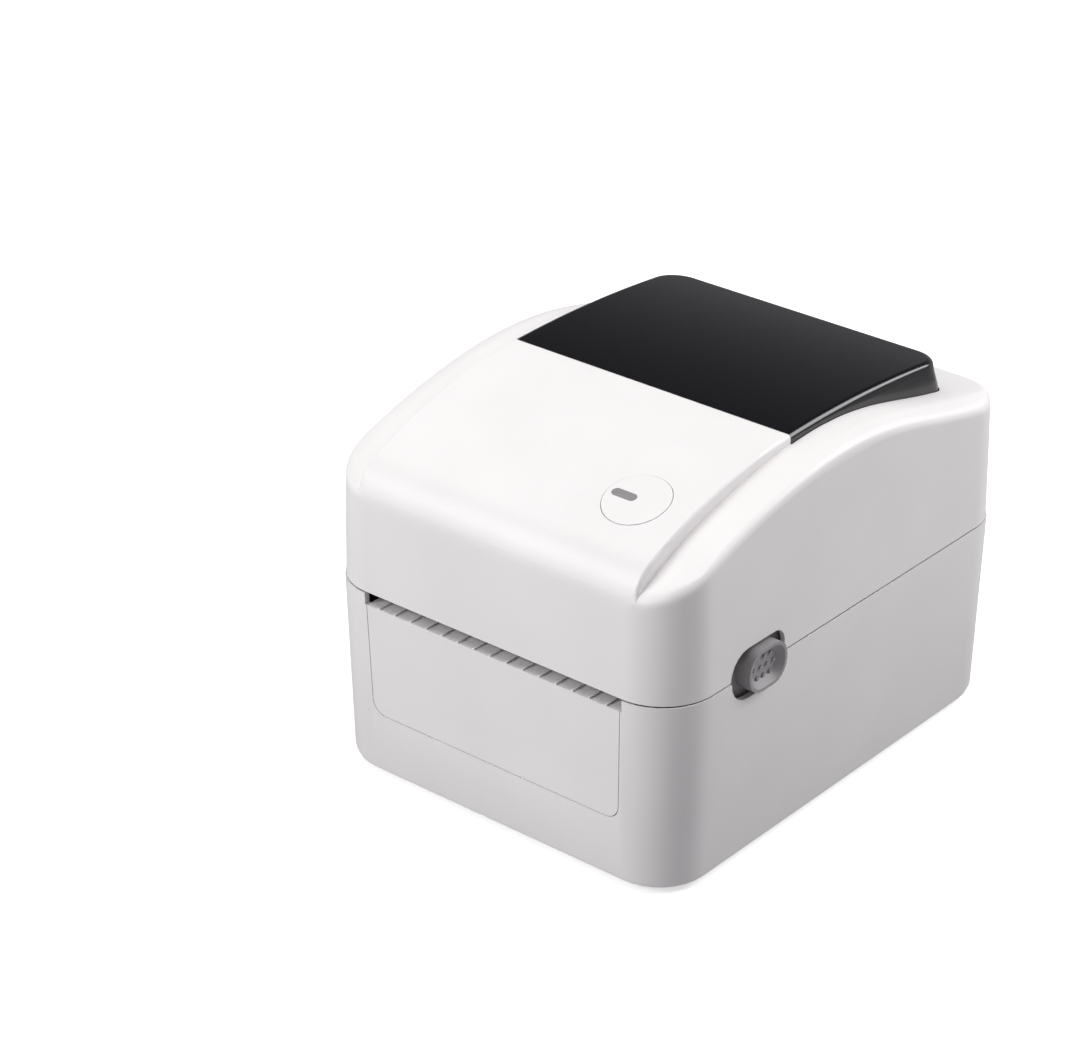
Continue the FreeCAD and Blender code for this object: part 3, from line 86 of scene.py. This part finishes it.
def moulded(name, dark, light, roughness, grain_mm, relief_mm, drift_mm=40.0):
    """Moulded surface: a slow drift between two near colours over a fine spark-eroded grain."""
    material, tree, shader, place = new_material(name)
    drift = add(tree, "ShaderNodeTexNoise", {"Vector": place}, Scale=1 / (drift_mm * MM), Detail=3.0)
    tint = add(tree, "ShaderNodeValToRGB", {"Fac": drift.outputs["Fac"]})
    for stop, position, colour in zip(tint.color_ramp.elements, (0.3, 0.7), (dark, light)):
        stop.position = position
        stop.color = linear(colour)
    grain = add(tree, "ShaderNodeTexNoise", {"Vector": place}, Scale=1 / (grain_mm * MM), Detail=2.0)
    relief = add(tree, "ShaderNodeBump", {"Height": grain.outputs["Fac"]}, Strength=0.35,
                 Distance=relief_mm * MM)
    gloss = add(tree, "ShaderNodeMapRange", {"Value": grain.outputs["Fac"]}, To_Min=roughness - 0.05,
                To_Max=roughness + 0.05)
    tree.links.new(tint.outputs["Color"], shader.inputs["Base Color"])
    tree.links.new(gloss.outputs["Result"], shader.inputs["Roughness"])
    tree.links.new(relief.outputs["Normal"], shader.inputs["Normal"])
    shader.inputs["IOR"].default_value = 1.53
    return material


def rounding_tree():
    """Welds a solid's loose triangles and shades them smooth up to a given angle between faces."""
    tree = bpy.data.node_groups.new("weld_and_smooth", "GeometryNodeTree")
    tree.interface.new_socket("Geometry", in_out="INPUT", socket_type="NodeSocketGeometry")
    angle = tree.interface.new_socket("Smooth up to", in_out="INPUT", socket_type="NodeSocketFloat")
    tree.interface.new_socket("Geometry", in_out="OUTPUT", socket_type="NodeSocketGeometry")
    given = add(tree, "NodeGroupInput")
    plain = add(tree, "GeometryNodeRemoveAttribute", {"Geometry": given.outputs["Geometry"]},
                Name="custom_normal")
    weld = add(tree, "GeometryNodeMergeByDistance", {"Geometry": plain.outputs["Geometry"]}, Distance=weld_reach)
    smooth = add(tree, "GeometryNodeSetShadeSmooth", {"Geometry": weld.outputs["Geometry"]}, domain="FACE")
    bend = add(tree, "GeometryNodeInputMeshEdgeAngle")
    sharp = add(tree, "FunctionNodeCompare",
                {"A": bend.outputs["Unsigned Angle"], "B": given.outputs["Smooth up to"]},
                data_type="FLOAT", operation="GREATER_THAN")
    creased = add(tree, "GeometryNodeSetShadeSmooth",
                  {"Geometry": smooth.outputs["Geometry"], "Selection": sharp.outputs["Result"]}, domain="EDGE")
    creased.inputs["Shade Smooth"].default_value = False
    add(tree, "NodeGroupOutput", {"Geometry": creased.outputs["Geometry"]})
    return tree, angle.identifier


weld_and_smooth, smooth_angle = rounding_tree()


def finish(material, *names):
    """Gives CAD nodes their material and smooth shading across their chords."""
    for name in names:
        solid = cad[name]
        solid.data.materials.clear()
        solid.data.materials.append(material)
        modifier = solid.modifiers.new("weld_and_smooth", "NODES")
        modifier.node_group = weld_and_smooth
        modifier[smooth_angle] = chord_angle


# The eye sees a soft, even off-white with a faint sparkle where light grazes the eroded grain. Real
# grain is about 0.05 mm; it is drawn at 0.5 mm so that it shows at all.
housing_abs = moulded("abs_off_white_spark_eroded", "#E6E3E3", "#EAE7E7", 0.42, 0.5, 0.012)
finish(housing_abs, "base_shell")


# Feet: four round pads of soft black rubber, moulded and pressed into recesses under the tub, which
# they keep from sliding on the desk.

# Rubber looks dull and nearly black, a little chalky, with no clear reflection.
foot_rubber = moulded("rubber_black_moulded", "#161616", "#1E1D1D", 0.8, 0.8, 0.03, 12.0)
finish(foot_rubber, "foot_front_left", "foot_front_right", "foot_rear_left", "foot_rear_right")


# Electronics at the back: the main board on four standoffs, with a square data socket and a round
# power inlet soldered to its rear edge, and a rocker switch snapped into the tub's rear wall.

def circuit_board(name):
    """Green solder mask: thin paler tracks over a dark green, glossy like lacquer."""
    material, tree, shader, place = new_material(name)
    cells = add(tree, "ShaderNodeTexVoronoi", {"Vector": place}, Scale=1 / (5 * MM), distance="MANHATTAN",
                feature="DISTANCE_TO_EDGE")
    tracks = add(tree, "ShaderNodeValToRGB", {"Fac": cells.outputs["Distance"]})
    for stop, position, colour in zip(tracks.color_ramp.elements, (0.05, 0.09), ("#2E7A48", "#14502C")):
        stop.position = position
        stop.color = linear(colour)
    relief = add(tree, "ShaderNodeBump", {"Height": cells.outputs["Distance"]}, Strength=0.2,
                 Distance=0.03 * MM)
    tree.links.new(tracks.outputs["Color"], shader.inputs["Base Color"])
    tree.links.new(relief.outputs["Normal"], shader.inputs["Normal"])
    shader.inputs["Roughness"].default_value = 0.28
    return material


def worked_metal(name, dark, light, roughness, streak_mm, stretch):
    """Metal with fine streaks along the way it was rolled, drawn or cut."""
    material, tree, shader, place = new_material(name)
    turned = add(tree, "ShaderNodeMapping", {"Vector": place}, Scale=stretch)
    streaks = add(tree, "ShaderNodeTexNoise", {"Vector": turned.outputs["Vector"]}, Scale=1 / (streak_mm * MM),
                  Detail=4.0)
    tint = add(tree, "ShaderNodeValToRGB", {"Fac": streaks.outputs["Fac"]})
    for stop, position, colour in zip(tint.color_ramp.elements, (0.35, 0.65), (dark, light)):
        stop.position = position
        stop.color = linear(colour)
    gloss = add(tree, "ShaderNodeMapRange", {"Value": streaks.outputs["Fac"]}, To_Min=roughness - 0.08,
                To_Max=roughness + 0.08)
    tree.links.new(tint.outputs["Color"], shader.inputs["Base Color"])
    tree.links.new(gloss.outputs["Result"], shader.inputs["Roughness"])
    shader.inputs["Metallic"].default_value = 1.0
    return material


# Solder mask: a lacquered dark green with paler tracks under it.
finish(circuit_board("solder_mask_green_glossy"), "main_board", "button_board")
# Black nylon: a deep, even black with a low satin sheen.
switch_nylon = moulded("nylon_black_satin", "#0F0F10", "#161617", 0.38, 0.5, 0.01)
finish(switch_nylon, "switch_housing", "power_rocker", "power_jack")
# Zinc plate on sheet: pale blue-grey metal, its rolling marks running across the printer.
plated_sheet = worked_metal("steel_sheet_zinc_plated", "#B4B6BA", "#CFD1D4", 0.32, 1.2, (0.05, 1, 1))
finish(plated_sheet, "usb_socket")


# Print frame: a folded steel sheet across the front that holds the platen in two acetal bushings. A
# stepper motor on its left plate drives the platen through a two-step reduction of acetal gears.

finish(plated_sheet, "print_frame")
# Natural acetal: creamy white and slightly waxy.
acetal = moulded("acetal_natural_waxy", "#DCD8CB", "#E6E2D6", 0.33, 0.6, 0.008, 15.0)
finish(acetal, "platen_bushing_left", "platen_bushing_right", "platen_gear", "reduction_gear", "motor_pinion")
# Ground bar: bright steel with rings where it was turned.
ground_bar = worked_metal("steel_bar_ground", "#A9ABAE", "#C6C8CA", 0.24, 0.4, (1, 0.06, 0.06))
finish(ground_bar, "platen_shaft", "gear_stud", "motor_shaft")
# Stoved black paint on the motor's can: smooth with a slight orange peel.
finish(moulded("paint_black_stoved", "#131314", "#1A1A1B", 0.34, 1.6, 0.02), "stepper_motor")
# Ground silicone: dark grey and dull, with the fine nap that grinding leaves.
finish(moulded("silicone_grey_ground", "#27282A", "#303134", 0.68, 0.6, 0.02, 8.0), "platen_rubber")


# Deck: one dark grey moulding with the trough for the label roll, ribs that the label slides over and
# a slot for the gap sensor. Four hexagon-head screws hold it to the tub's bosses.

# The darker inside moulding hides dust and light; its grain is coarser than the housing's.
liner_abs = moulded("abs_dark_grey_textured", "#45454A", "#4D4D52", 0.55, 0.7, 0.02)
finish(liner_abs, "bay_liner")
corners = ("front_left", "front_right", "rear_left", "rear_right")
finish(ground_bar, *("liner_screw_" + corner for corner in corners))


# Label guides: two black holders that centre the roll, each with a rack under the deck. One pinion
# between the racks keeps them level with the middle; the gap sensor slides in its own slot.

# Moulded nylon: a softer black than the switch, with a fine matt grain.
guide_nylon = moulded("nylon_black_moulded", "#18181A", "#202022", 0.45, 0.6, 0.015)
finish(guide_nylon, "label_guide_left", "label_guide_right", "media_sensor")
finish(acetal, "guide_pinion")


# Latches: a grey sliding plate in each side wall with a dished thumb tab. A bowed steel strip pushes
# it back, and its hook holds the cover's striker.

# Mid-grey moulding, matt, so the dish shades softly and only its rim takes a light edge.
latch_abs = moulded("abs_mid_grey_matt", "#949193", "#9C9A9B", 0.5, 0.5, 0.012)
finish(latch_abs, "latch_left", "latch_right")
# Blued strip: dark steel with a cool cast.
blued_strip = worked_metal("steel_strip_blued", "#5B5F68", "#747983", 0.3, 1.0, (1, 0.1, 1))


def welded_copy(name, copy_name):
    """New object with a CAD node's mesh, its loose triangles welded."""
    mesh = bpy.data.meshes.new(copy_name)
    work = bmesh.new()
    work.from_mesh(cad[name].data)
    bmesh.ops.remove_doubles(work, verts=work.verts, dist=weld_reach)
    work.to_mesh(mesh)
    work.free()
    if "custom_normal" in mesh.attributes:
        mesh.attributes.remove(mesh.attributes["custom_normal"])
    copy = bpy.data.objects.new(copy_name, mesh)
    bpy.context.scene.collection.objects.link(copy)
    return copy


def sprung_strip(name, piece_name):
    """Spring strip copied in a CAD node's place, welded, in blued steel and smooth shaded, with the node hidden.
    """
    strip = welded_copy(name, piece_name)
    strip.data.materials.clear()
    strip.data.materials.append(blued_strip)
    strip.data.shade_smooth()
    strip.data.set_sharp_from_angle(angle=chord_angle)
    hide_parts(name)
    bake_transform(strip)


for side in ("left", "right"):
    sprung_strip("latch_spring_" + side, "latch_strip_" + side)


# Front panel: a separate off-white skin below the mouth, moulded in the tub's ABS and snapped into it,
# with a ribbed lip that the label slides over as it leaves.

finish(housing_abs, "front_panel")


# Cover: the upper half of the clamshell, moulded in the same off-white ABS. The panel and its brow
# stand above two rounded shoulders; every outer edge is rolled, which flat-faced solids can't show.

side_x, end_y, seam_z = 87.0, 110.0, 82.5
corner_radius, draft = 24.0, math.tan(math.radians(1.6))
panel_half, panel_edge, panel_side_draft = 67.5, 1.4, 0.12
panel_arch, panel_centre_y, panel_centre_z = 225.0, -6.675, -68.7577
panel_end_y = -10.0
brow_radius, shoulder_roll, nose_roll = 20.0, 3.2, 3.0
shoulder_y = np.array([-116, -107, -95, -72, -40, -4, 30, 60, 85, 116], float)
shoulder_z = 156.6 - np.array([36.4, 31.4, 24.8, 15.7, 7.5, 3.4, 5.9, 12.7, 18.0, 22.6])
shoulder_flat, slope_front, slope_rear = 78.0, 0.13, 0.45
skin_inset, skirt_z, above_all = 0.2, 76.0, 170.0
shoulder_lean, least_roll = 0.9, 0.01
# Where the shoulder sinks under the brow, where its roll begins, and where the nose's roll becomes its own
brow_sink, sink_x, sink_y = 8.0, (58.0, 67.0), (-95.0, -80.0)
roll_x, roll_y, nose_y = (62.0, 70.0), (-80.0, -60.0), (-100.0, -60.0)
roll_angle = math.radians(32)


def natural_spline(knots, values):
    """Second derivatives of the smooth curve through the shoulder's points."""
    steps = np.diff(knots)
    count = len(knots)
    matrix = np.eye(count)
    right = np.zeros(count)
    for i in range(1, count - 1):
        matrix[i, i - 1:i + 2] = steps[i - 1], 2 * (steps[i - 1] + steps[i]), steps[i]
        right[i] = 6 * ((values[i + 1] - values[i]) / steps[i] - (values[i] - values[i - 1]) / steps[i - 1])
    return np.linalg.solve(matrix, right)


shoulder_bend = natural_spline(shoulder_y, shoulder_z)


def shoulder_height(y):
    """Height of the shoulder's curve at a depth."""
    y = np.clip(y, shoulder_y[0], shoulder_y[-1])
    i = np.clip(np.searchsorted(shoulder_y, y) - 1, 0, len(shoulder_y) - 2)
    step = shoulder_y[i + 1] - shoulder_y[i]
    a = (shoulder_y[i + 1] - y) / step
    b = (y - shoulder_y[i]) / step
    bend = ((a ** 3 - a) * shoulder_bend[i] + (b ** 3 - b) * shoulder_bend[i + 1]) * step ** 2 / 6
    return a * shoulder_z[i] + b * shoulder_z[i + 1] + bend


def ease(low, high, value):
    """Smooth step from 0 to 1 between two values."""
    share = np.clip((value - low) / (high - low), 0, 1)
    return share * share * (3 - 2 * share)


def rolled(a, b, radius):
    """Distance to the edge of two surfaces, rounded to a radius."""
    outside = np.hypot(np.maximum(a + radius, 0), np.maximum(b + radius, 0))
    return np.minimum(np.maximum(a, b), -radius) + outside


def brow_centre():
    """Middle of the brow's arc, which touches the front wall and the panel's arch from inside."""
    along = np.array([draft, 1.0]) / math.hypot(draft, 1.0)
    start = np.array([-end_y, seam_z]) + np.array([along[1], -along[0]]) * brow_radius
    toward = np.array([panel_centre_y, panel_centre_z]) - start
    rise = toward @ along
    return start + along * (rise + math.sqrt((panel_arch - brow_radius) ** 2 - toward @ toward + rise ** 2))


brow_y, brow_z = brow_centre()


def panel_distance(y, z):
    """Distance to the front wall, the brow or the panel's arch, whichever the point faces."""
    arch = np.hypot(y - panel_centre_y, z - panel_centre_z) - panel_arch
    front = -(y + end_y) + draft * (z - seam_z)
    brow = np.hypot(y - brow_y, z - brow_z) - brow_radius
    before = (y - brow_y) * (brow_z - panel_centre_z) - (z - brow_z) * (brow_y - panel_centre_y) < 0
    over = (z - brow_z) + draft * (y - brow_y) > 0
    return np.where(before, np.where(over, brow, front), arch)


def wall_distance(x, y, half_x, half_y, radius):
    """Distance to upright walls with rounded corners, for points given by how far off the middle they lie."""
    out_x = x - (half_x - radius)
    out_y = y - (half_y - radius)
    return np.hypot(np.maximum(out_x, 0), np.maximum(out_y, 0)) + np.minimum(np.maximum(out_x, out_y), 0) - radius


def cover_distance(p):
    """Signed distance to the cover's outer surface, in millimetres."""
    x, y, z = np.abs(p[:, 0]), p[:, 1], p[:, 2]
    shrink = np.abs(z - seam_z) * draft
    wall = wall_distance(x, np.abs(y), side_x - shrink, end_y - shrink, corner_radius - shrink)
    share = (y - shoulder_y[0]) / (shoulder_y[-1] - shoulder_y[0])
    slope = slope_front + (slope_rear - slope_front) * share
    sink = brow_sink * (1 - ease(*sink_x, x)) * (1 - ease(*sink_y, y))
    shoulder = (z - shoulder_height(y) + sink + slope * np.maximum(0, x - shoulder_flat)) * shoulder_lean
    arch = panel_distance(y, z)
    side = x - panel_half + panel_side_draft * arch
    panel = np.maximum(rolled(arch, side, panel_edge), y - panel_end_y)
    roll = nose_roll + (shoulder_roll - nose_roll) * ease(*nose_y, y)
    roll = np.maximum(roll * np.maximum(ease(*roll_x, x), ease(*roll_y, y)), least_roll)
    return rolled(wall, np.minimum(shoulder, panel), roll) + skin_inset


def crossing(distance, inside, outside, halvings=40):
    """Where the lines from inside points to outside points leave a form."""
    for _ in range(halvings):
        middle = (inside + outside) / 2
        within = (distance(middle) < 0)[:, None]
        inside, outside = np.where(within, middle, inside), np.where(within, outside, middle)
    return inside


def stations(*spans):
    """Grid lines from the middle out, each span given as its outer end and its number of steps."""
    lines = [0.0]
    for end, steps in spans:
        lines += list(np.linspace(lines[-1], end, steps + 1)[1:])
    return np.array([-line for line in lines[:0:-1]] + lines)


def skin_mesh(name, distance, xs, ys, core, centre_y, low, high, drops, wall_reach=20.0):
    """Closed mesh of an outer form: a grid let down onto it, and rings out to its walls below the grid.

    The grid's outer part is bent round the corners of the core, a rectangle given by its half sides."""
    x, y = (line.ravel() for line in np.meshgrid(xs, ys, indexing="ij"))
    flat = np.stack([np.clip(x, -core[0], core[0]), np.clip(y, -core[1], core[1])], axis=1)
    beyond = np.stack([x, y], axis=1) - flat
    reach = np.hypot(beyond[:, 0], beyond[:, 1])
    away = beyond / np.maximum(reach, 1e-9)[:, None]
    plan = flat + away * np.abs(beyond).max(axis=1)[:, None] + np.array([0, centre_y])
    column = np.column_stack([plan, np.full(len(plan), low)])
    top = crossing(distance, column, column + np.array([0, 0, high - low]))
    nx, ny = len(xs), len(ys)
    number = np.arange(nx * ny).reshape(nx, ny)
    faces = [(number[i, j], number[i + 1, j], number[i + 1, j + 1], number[i, j + 1])
             for i in range(nx - 1) for j in range(ny - 1)]
    rim = list(number[:, 0]) + list(number[-1, 1:]) + list(number[-2::-1, -1]) + list(number[0, -2:0:-1])
    outward = np.column_stack([away[rim], np.zeros(len(rim))])
    points, above = [top], rim
    for drop in drops + (None,):
        ring = top[rim].copy()
        ring[:, 2] = low if drop is None else ring[:, 2] - drop
        start = sum(len(p) for p in points)
        below = list(range(start, start + len(rim)))
        points.append(crossing(distance, ring, ring + wall_reach * outward))
        faces += [(above[k - 1], below[k - 1], below[k], above[k]) for k in range(len(rim))]
        above = below
    faces.append(tuple(above[::-1]))
    mesh = bpy.data.meshes.new(name)
    corners_of_faces = [tuple(int(i) for i in face) for face in faces]
    mesh.from_pydata((np.concatenate(points) * MM).tolist(), [], corners_of_faces)
    work = bmesh.new()
    work.from_mesh(mesh)
    bmesh.ops.recalc_face_normals(work, faces=work.faces)
    work.to_mesh(mesh)
    work.free()
    return mesh


def settled_mesh(piece):
    """Turns a piece with modifiers into a plain mesh with none."""
    seen = piece.evaluated_get(bpy.context.evaluated_depsgraph_get())
    mesh = bpy.data.meshes.new_from_object(seen)
    piece.modifiers.clear()
    piece.data = mesh
    return piece


def trimmed(name, copy_name, form, material):
    """Copy of a CAD node inside a rounder outer form, riding on the cover in the node's place."""
    tool = bpy.data.objects.new(form.name, form)
    bpy.context.scene.collection.objects.link(tool)
    piece = welded_copy(name, copy_name)
    trim = piece.modifiers.new("trim", "BOOLEAN")
    trim.operation = "INTERSECT"
    trim.solver = "MANIFOLD"
    trim.object = tool
    settled_mesh(piece)
    bpy.data.objects.remove(tool)
    piece.data.materials.clear()
    piece.data.materials.append(material)
    piece.data.shade_smooth()
    piece.data.set_sharp_from_angle(angle=roll_angle)
    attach(piece, "cover")
    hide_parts(name)
    return piece


cover_x = stations((60, 8), (66, 6), (69, 12), (80, 8), (85, 8))
cover_y = stations((84, 30), (108, 18))
cover_core = side_x - corner_radius, end_y - corner_radius
cover_drops = (0.7, 1.5, 2.5, 4.0, 7.0, 12.0, 20.0)
cover_form = skin_mesh("cover_form", cover_distance, cover_x, cover_y, cover_core, 0.0, skirt_z, above_all,
                       cover_drops)
trimmed("top_cover", "cover_shell", cover_form, housing_abs)
finish(ground_bar, "hinge_pin_left", "hinge_pin_right")


# Roof window: a smoked hood over the label bay, moulded in acrylic and polished. Its skirt stands
# inside the shoulders and is bonded to the cover.

def polished_acrylic(name):
    """Nearly black, with clear reflections and the faint waviness of a large moulding."""
    material, tree, shader, place = new_material(name)
    wave = add(tree, "ShaderNodeTexNoise", {"Vector": place}, Scale=1 / (60 * MM), Detail=1.0)
    tint = add(tree, "ShaderNodeValToRGB", {"Fac": wave.outputs["Fac"]})
    for stop, colour in zip(tint.color_ramp.elements, ("#0B0A0E", "#0F0E13")):
        stop.color = linear(colour)
    relief = add(tree, "ShaderNodeBump", {"Height": wave.outputs["Fac"]}, Strength=0.1, Distance=0.2 * MM)
    tree.links.new(tint.outputs["Color"], shader.inputs["Base Color"])
    tree.links.new(relief.outputs["Normal"], shader.inputs["Normal"])
    shader.inputs["Roughness"].default_value = 0.2
    shader.inputs["IOR"].default_value = 1.49
    return material


# Smoked acrylic: black glass to the eye, with the studio's light drawn out softly along its arch.
smoked_acrylic = polished_acrylic("acrylic_smoked_polished")
window_middle, window_half_y, window_draft = 5.0, 80.0, math.tan(math.radians(4.0))
window_arch, window_crest_y, window_crest_z, window_joint_z = 600.0, 9.7, 156.6, 156.03
window_foot_radius, window_top_radius, window_rounding_z = 8.0, 12.0, (138.0, 150.0)
window_roll, window_inset, window_skirt_z = 2.4, 0.05, 110.0


def window_distance(p):
    """Signed distance to the window's outer surface, whose rear corners grow rounder towards the top."""
    x, y, z = np.abs(p[:, 0]), p[:, 1], p[:, 2]
    spread = (window_joint_z - z) * window_draft
    radius = window_foot_radius + (window_top_radius - window_foot_radius) * ease(*window_rounding_z, z)
    sides = wall_distance(x, np.abs(y - window_middle), panel_half + spread, window_half_y + spread, radius)
    arch = np.hypot(y - window_crest_y, z - window_crest_z + window_arch) - window_arch
    return rolled(arch, sides, window_roll) + window_inset


window_x = stations((50, 10), (60, 8), (65.5, 14))
window_y = stations((60, 20), (72, 10), (78, 14))
window_core = panel_half - window_top_radius, window_half_y - window_top_radius
window_drops = (0.4, 0.8, 1.3, 2.0, 4.0, 7.0, 11.0, 16.0)
window_form = skin_mesh("window_form", window_distance, window_x, window_y, window_core, window_middle,
                        window_skirt_z, above_all, window_drops)
trimmed("window", "window_hood", window_form, smoked_acrylic)


# Inside of the cover: a dark liner with the well for the print head, the serrated tear blade behind
# the mouth, and the head itself, a ceramic strip on an aluminium heat sink that hangs on two pins.

finish(liner_abs, "cover_liner")
finish(ground_bar, *("cover_screw_" + corner for corner in corners))
finish(plated_sheet, "tear_blade", "head_bracket")
for side in ("left", "right"):
    sprung_strip("head_spring_" + side, "head_strip_" + side)
# Clear anodised aluminium: pale and cool, its milling marks running along the head.
milled_aluminium = worked_metal("aluminium_milled_clear_anodised", "#C4C5C8", "#D9DADC", 0.35, 1.0, (0.05, 1, 1))
finish(milled_aluminium, "head_heatsink")
# Glazed alumina: pale, smooth and a little glossy.
finish(moulded("alumina_glazed", "#CFCBC2", "#DAD6CE", 0.18, 0.8, 0.004), "head_substrate")


# Feed button: a round cap in the panel's own curve, moulded with the housing's plastic. A light guide
# stands in a slot in it, over the lamp on the button's board.

finish(housing_abs, "feed_button")
# Milky grey light guide: smooth, with a soft gloss and no lamp lit behind it.
finish(moulded("acrylic_grey_milky", "#888688", "#929092", 0.25, 0.5, 0.004), "status_lens")


# Studio: a pale floor, soft light from above, the front left and the rear right, walls that darken
# upwards for the window to reflect, and the camera above the desk, three quarters from the front.

floor_mesh = bpy.data.meshes.new("studio_floor")
reach = 6.0
floor_corners = [(-reach, -reach, 0), (reach, -reach, 0), (reach, reach, 0), (-reach, reach, 0)]
floor_mesh.from_pydata(floor_corners, [], [(0, 1, 2, 3)])
floor = bpy.data.objects.new("studio_floor", floor_mesh)
# Seamless paper: an even white with no edge. A little light of its own keeps it white, and it is kept
# out of the printer's own shading, so that the walls grow darker towards the foot.
paper = moulded("paper_white_seamless", "#FAFAFA", "#FDFDFD", 0.9, 2.0, 0.01, 400.0)
paper_shader = paper.node_tree.nodes["Principled BSDF"]
paper_shader.inputs["Emission Color"].default_value = linear("#FFFFFF")
paper_shader.inputs["Emission Strength"].default_value = 0.4
floor_mesh.materials.append(paper)
floor.visible_diffuse = False
floor.visible_glossy = False
bpy.context.scene.collection.objects.link(floor)

world = bpy.data.worlds.new("studio")
world.use_nodes = True
sky = world.node_tree
way = add(sky, "ShaderNodeTexCoord")
height = add(sky, "ShaderNodeSeparateXYZ", {"Vector": way.outputs["Generated"]})
walls = add(sky, "ShaderNodeValToRGB", {"Fac": height.outputs["Z"]})
walls.color_ramp.elements[0].color = linear("#B8B8BA")
walls.color_ramp.elements[1].color = linear("#464648")
for rise, colour in ((0.15, "#A4A4A6"), (0.3, "#78787A"), (0.5, "#464648")):
    walls.color_ramp.elements.new(rise).color = linear(colour)
sky.links.new(walls.outputs["Color"], sky.nodes["Background"].inputs["Color"])
bpy.context.scene.world = world

for name, place, aim, size, power in (
        ("light_top", (-0.1, -0.1, 1.3), (0, 0, 0.1), 1.2, 9.6),
        ("light_front_left", (-0.6, -1.3, 0.8), (0, 0, 0.08), 0.9, 16.0),
        ("light_rear_right", (0.75, 1.1, 0.95), (0, 0.05, 0.08), 0.9, 20.0)):
    lamp = bpy.data.lights.new(name, "AREA")
    lamp.size = size
    lamp.energy = power
    light = bpy.data.objects.new(name, lamp)
    light.location = place
    light.rotation_euler = (Vector(aim) - Vector(place)).to_track_quat("-Z", "Y").to_euler()
    bpy.context.scene.collection.objects.link(light)

camera = bpy.data.cameras.new("camera")
camera.lens = 111.45
camera.sensor_width = 36.0
camera.clip_start = 0.01
viewer = bpy.data.objects.new("camera", camera)
viewer.location = (0.71326, -0.92741, 0.69965)
viewer.rotation_euler = Vector((-0.5713, 0.6783, -0.4621)).to_track_quat("-Z", "Y").to_euler()
bpy.context.scene.collection.objects.link(viewer)
bpy.context.scene.camera = viewer
bpy.context.scene.view_settings.view_transform = "Standard"
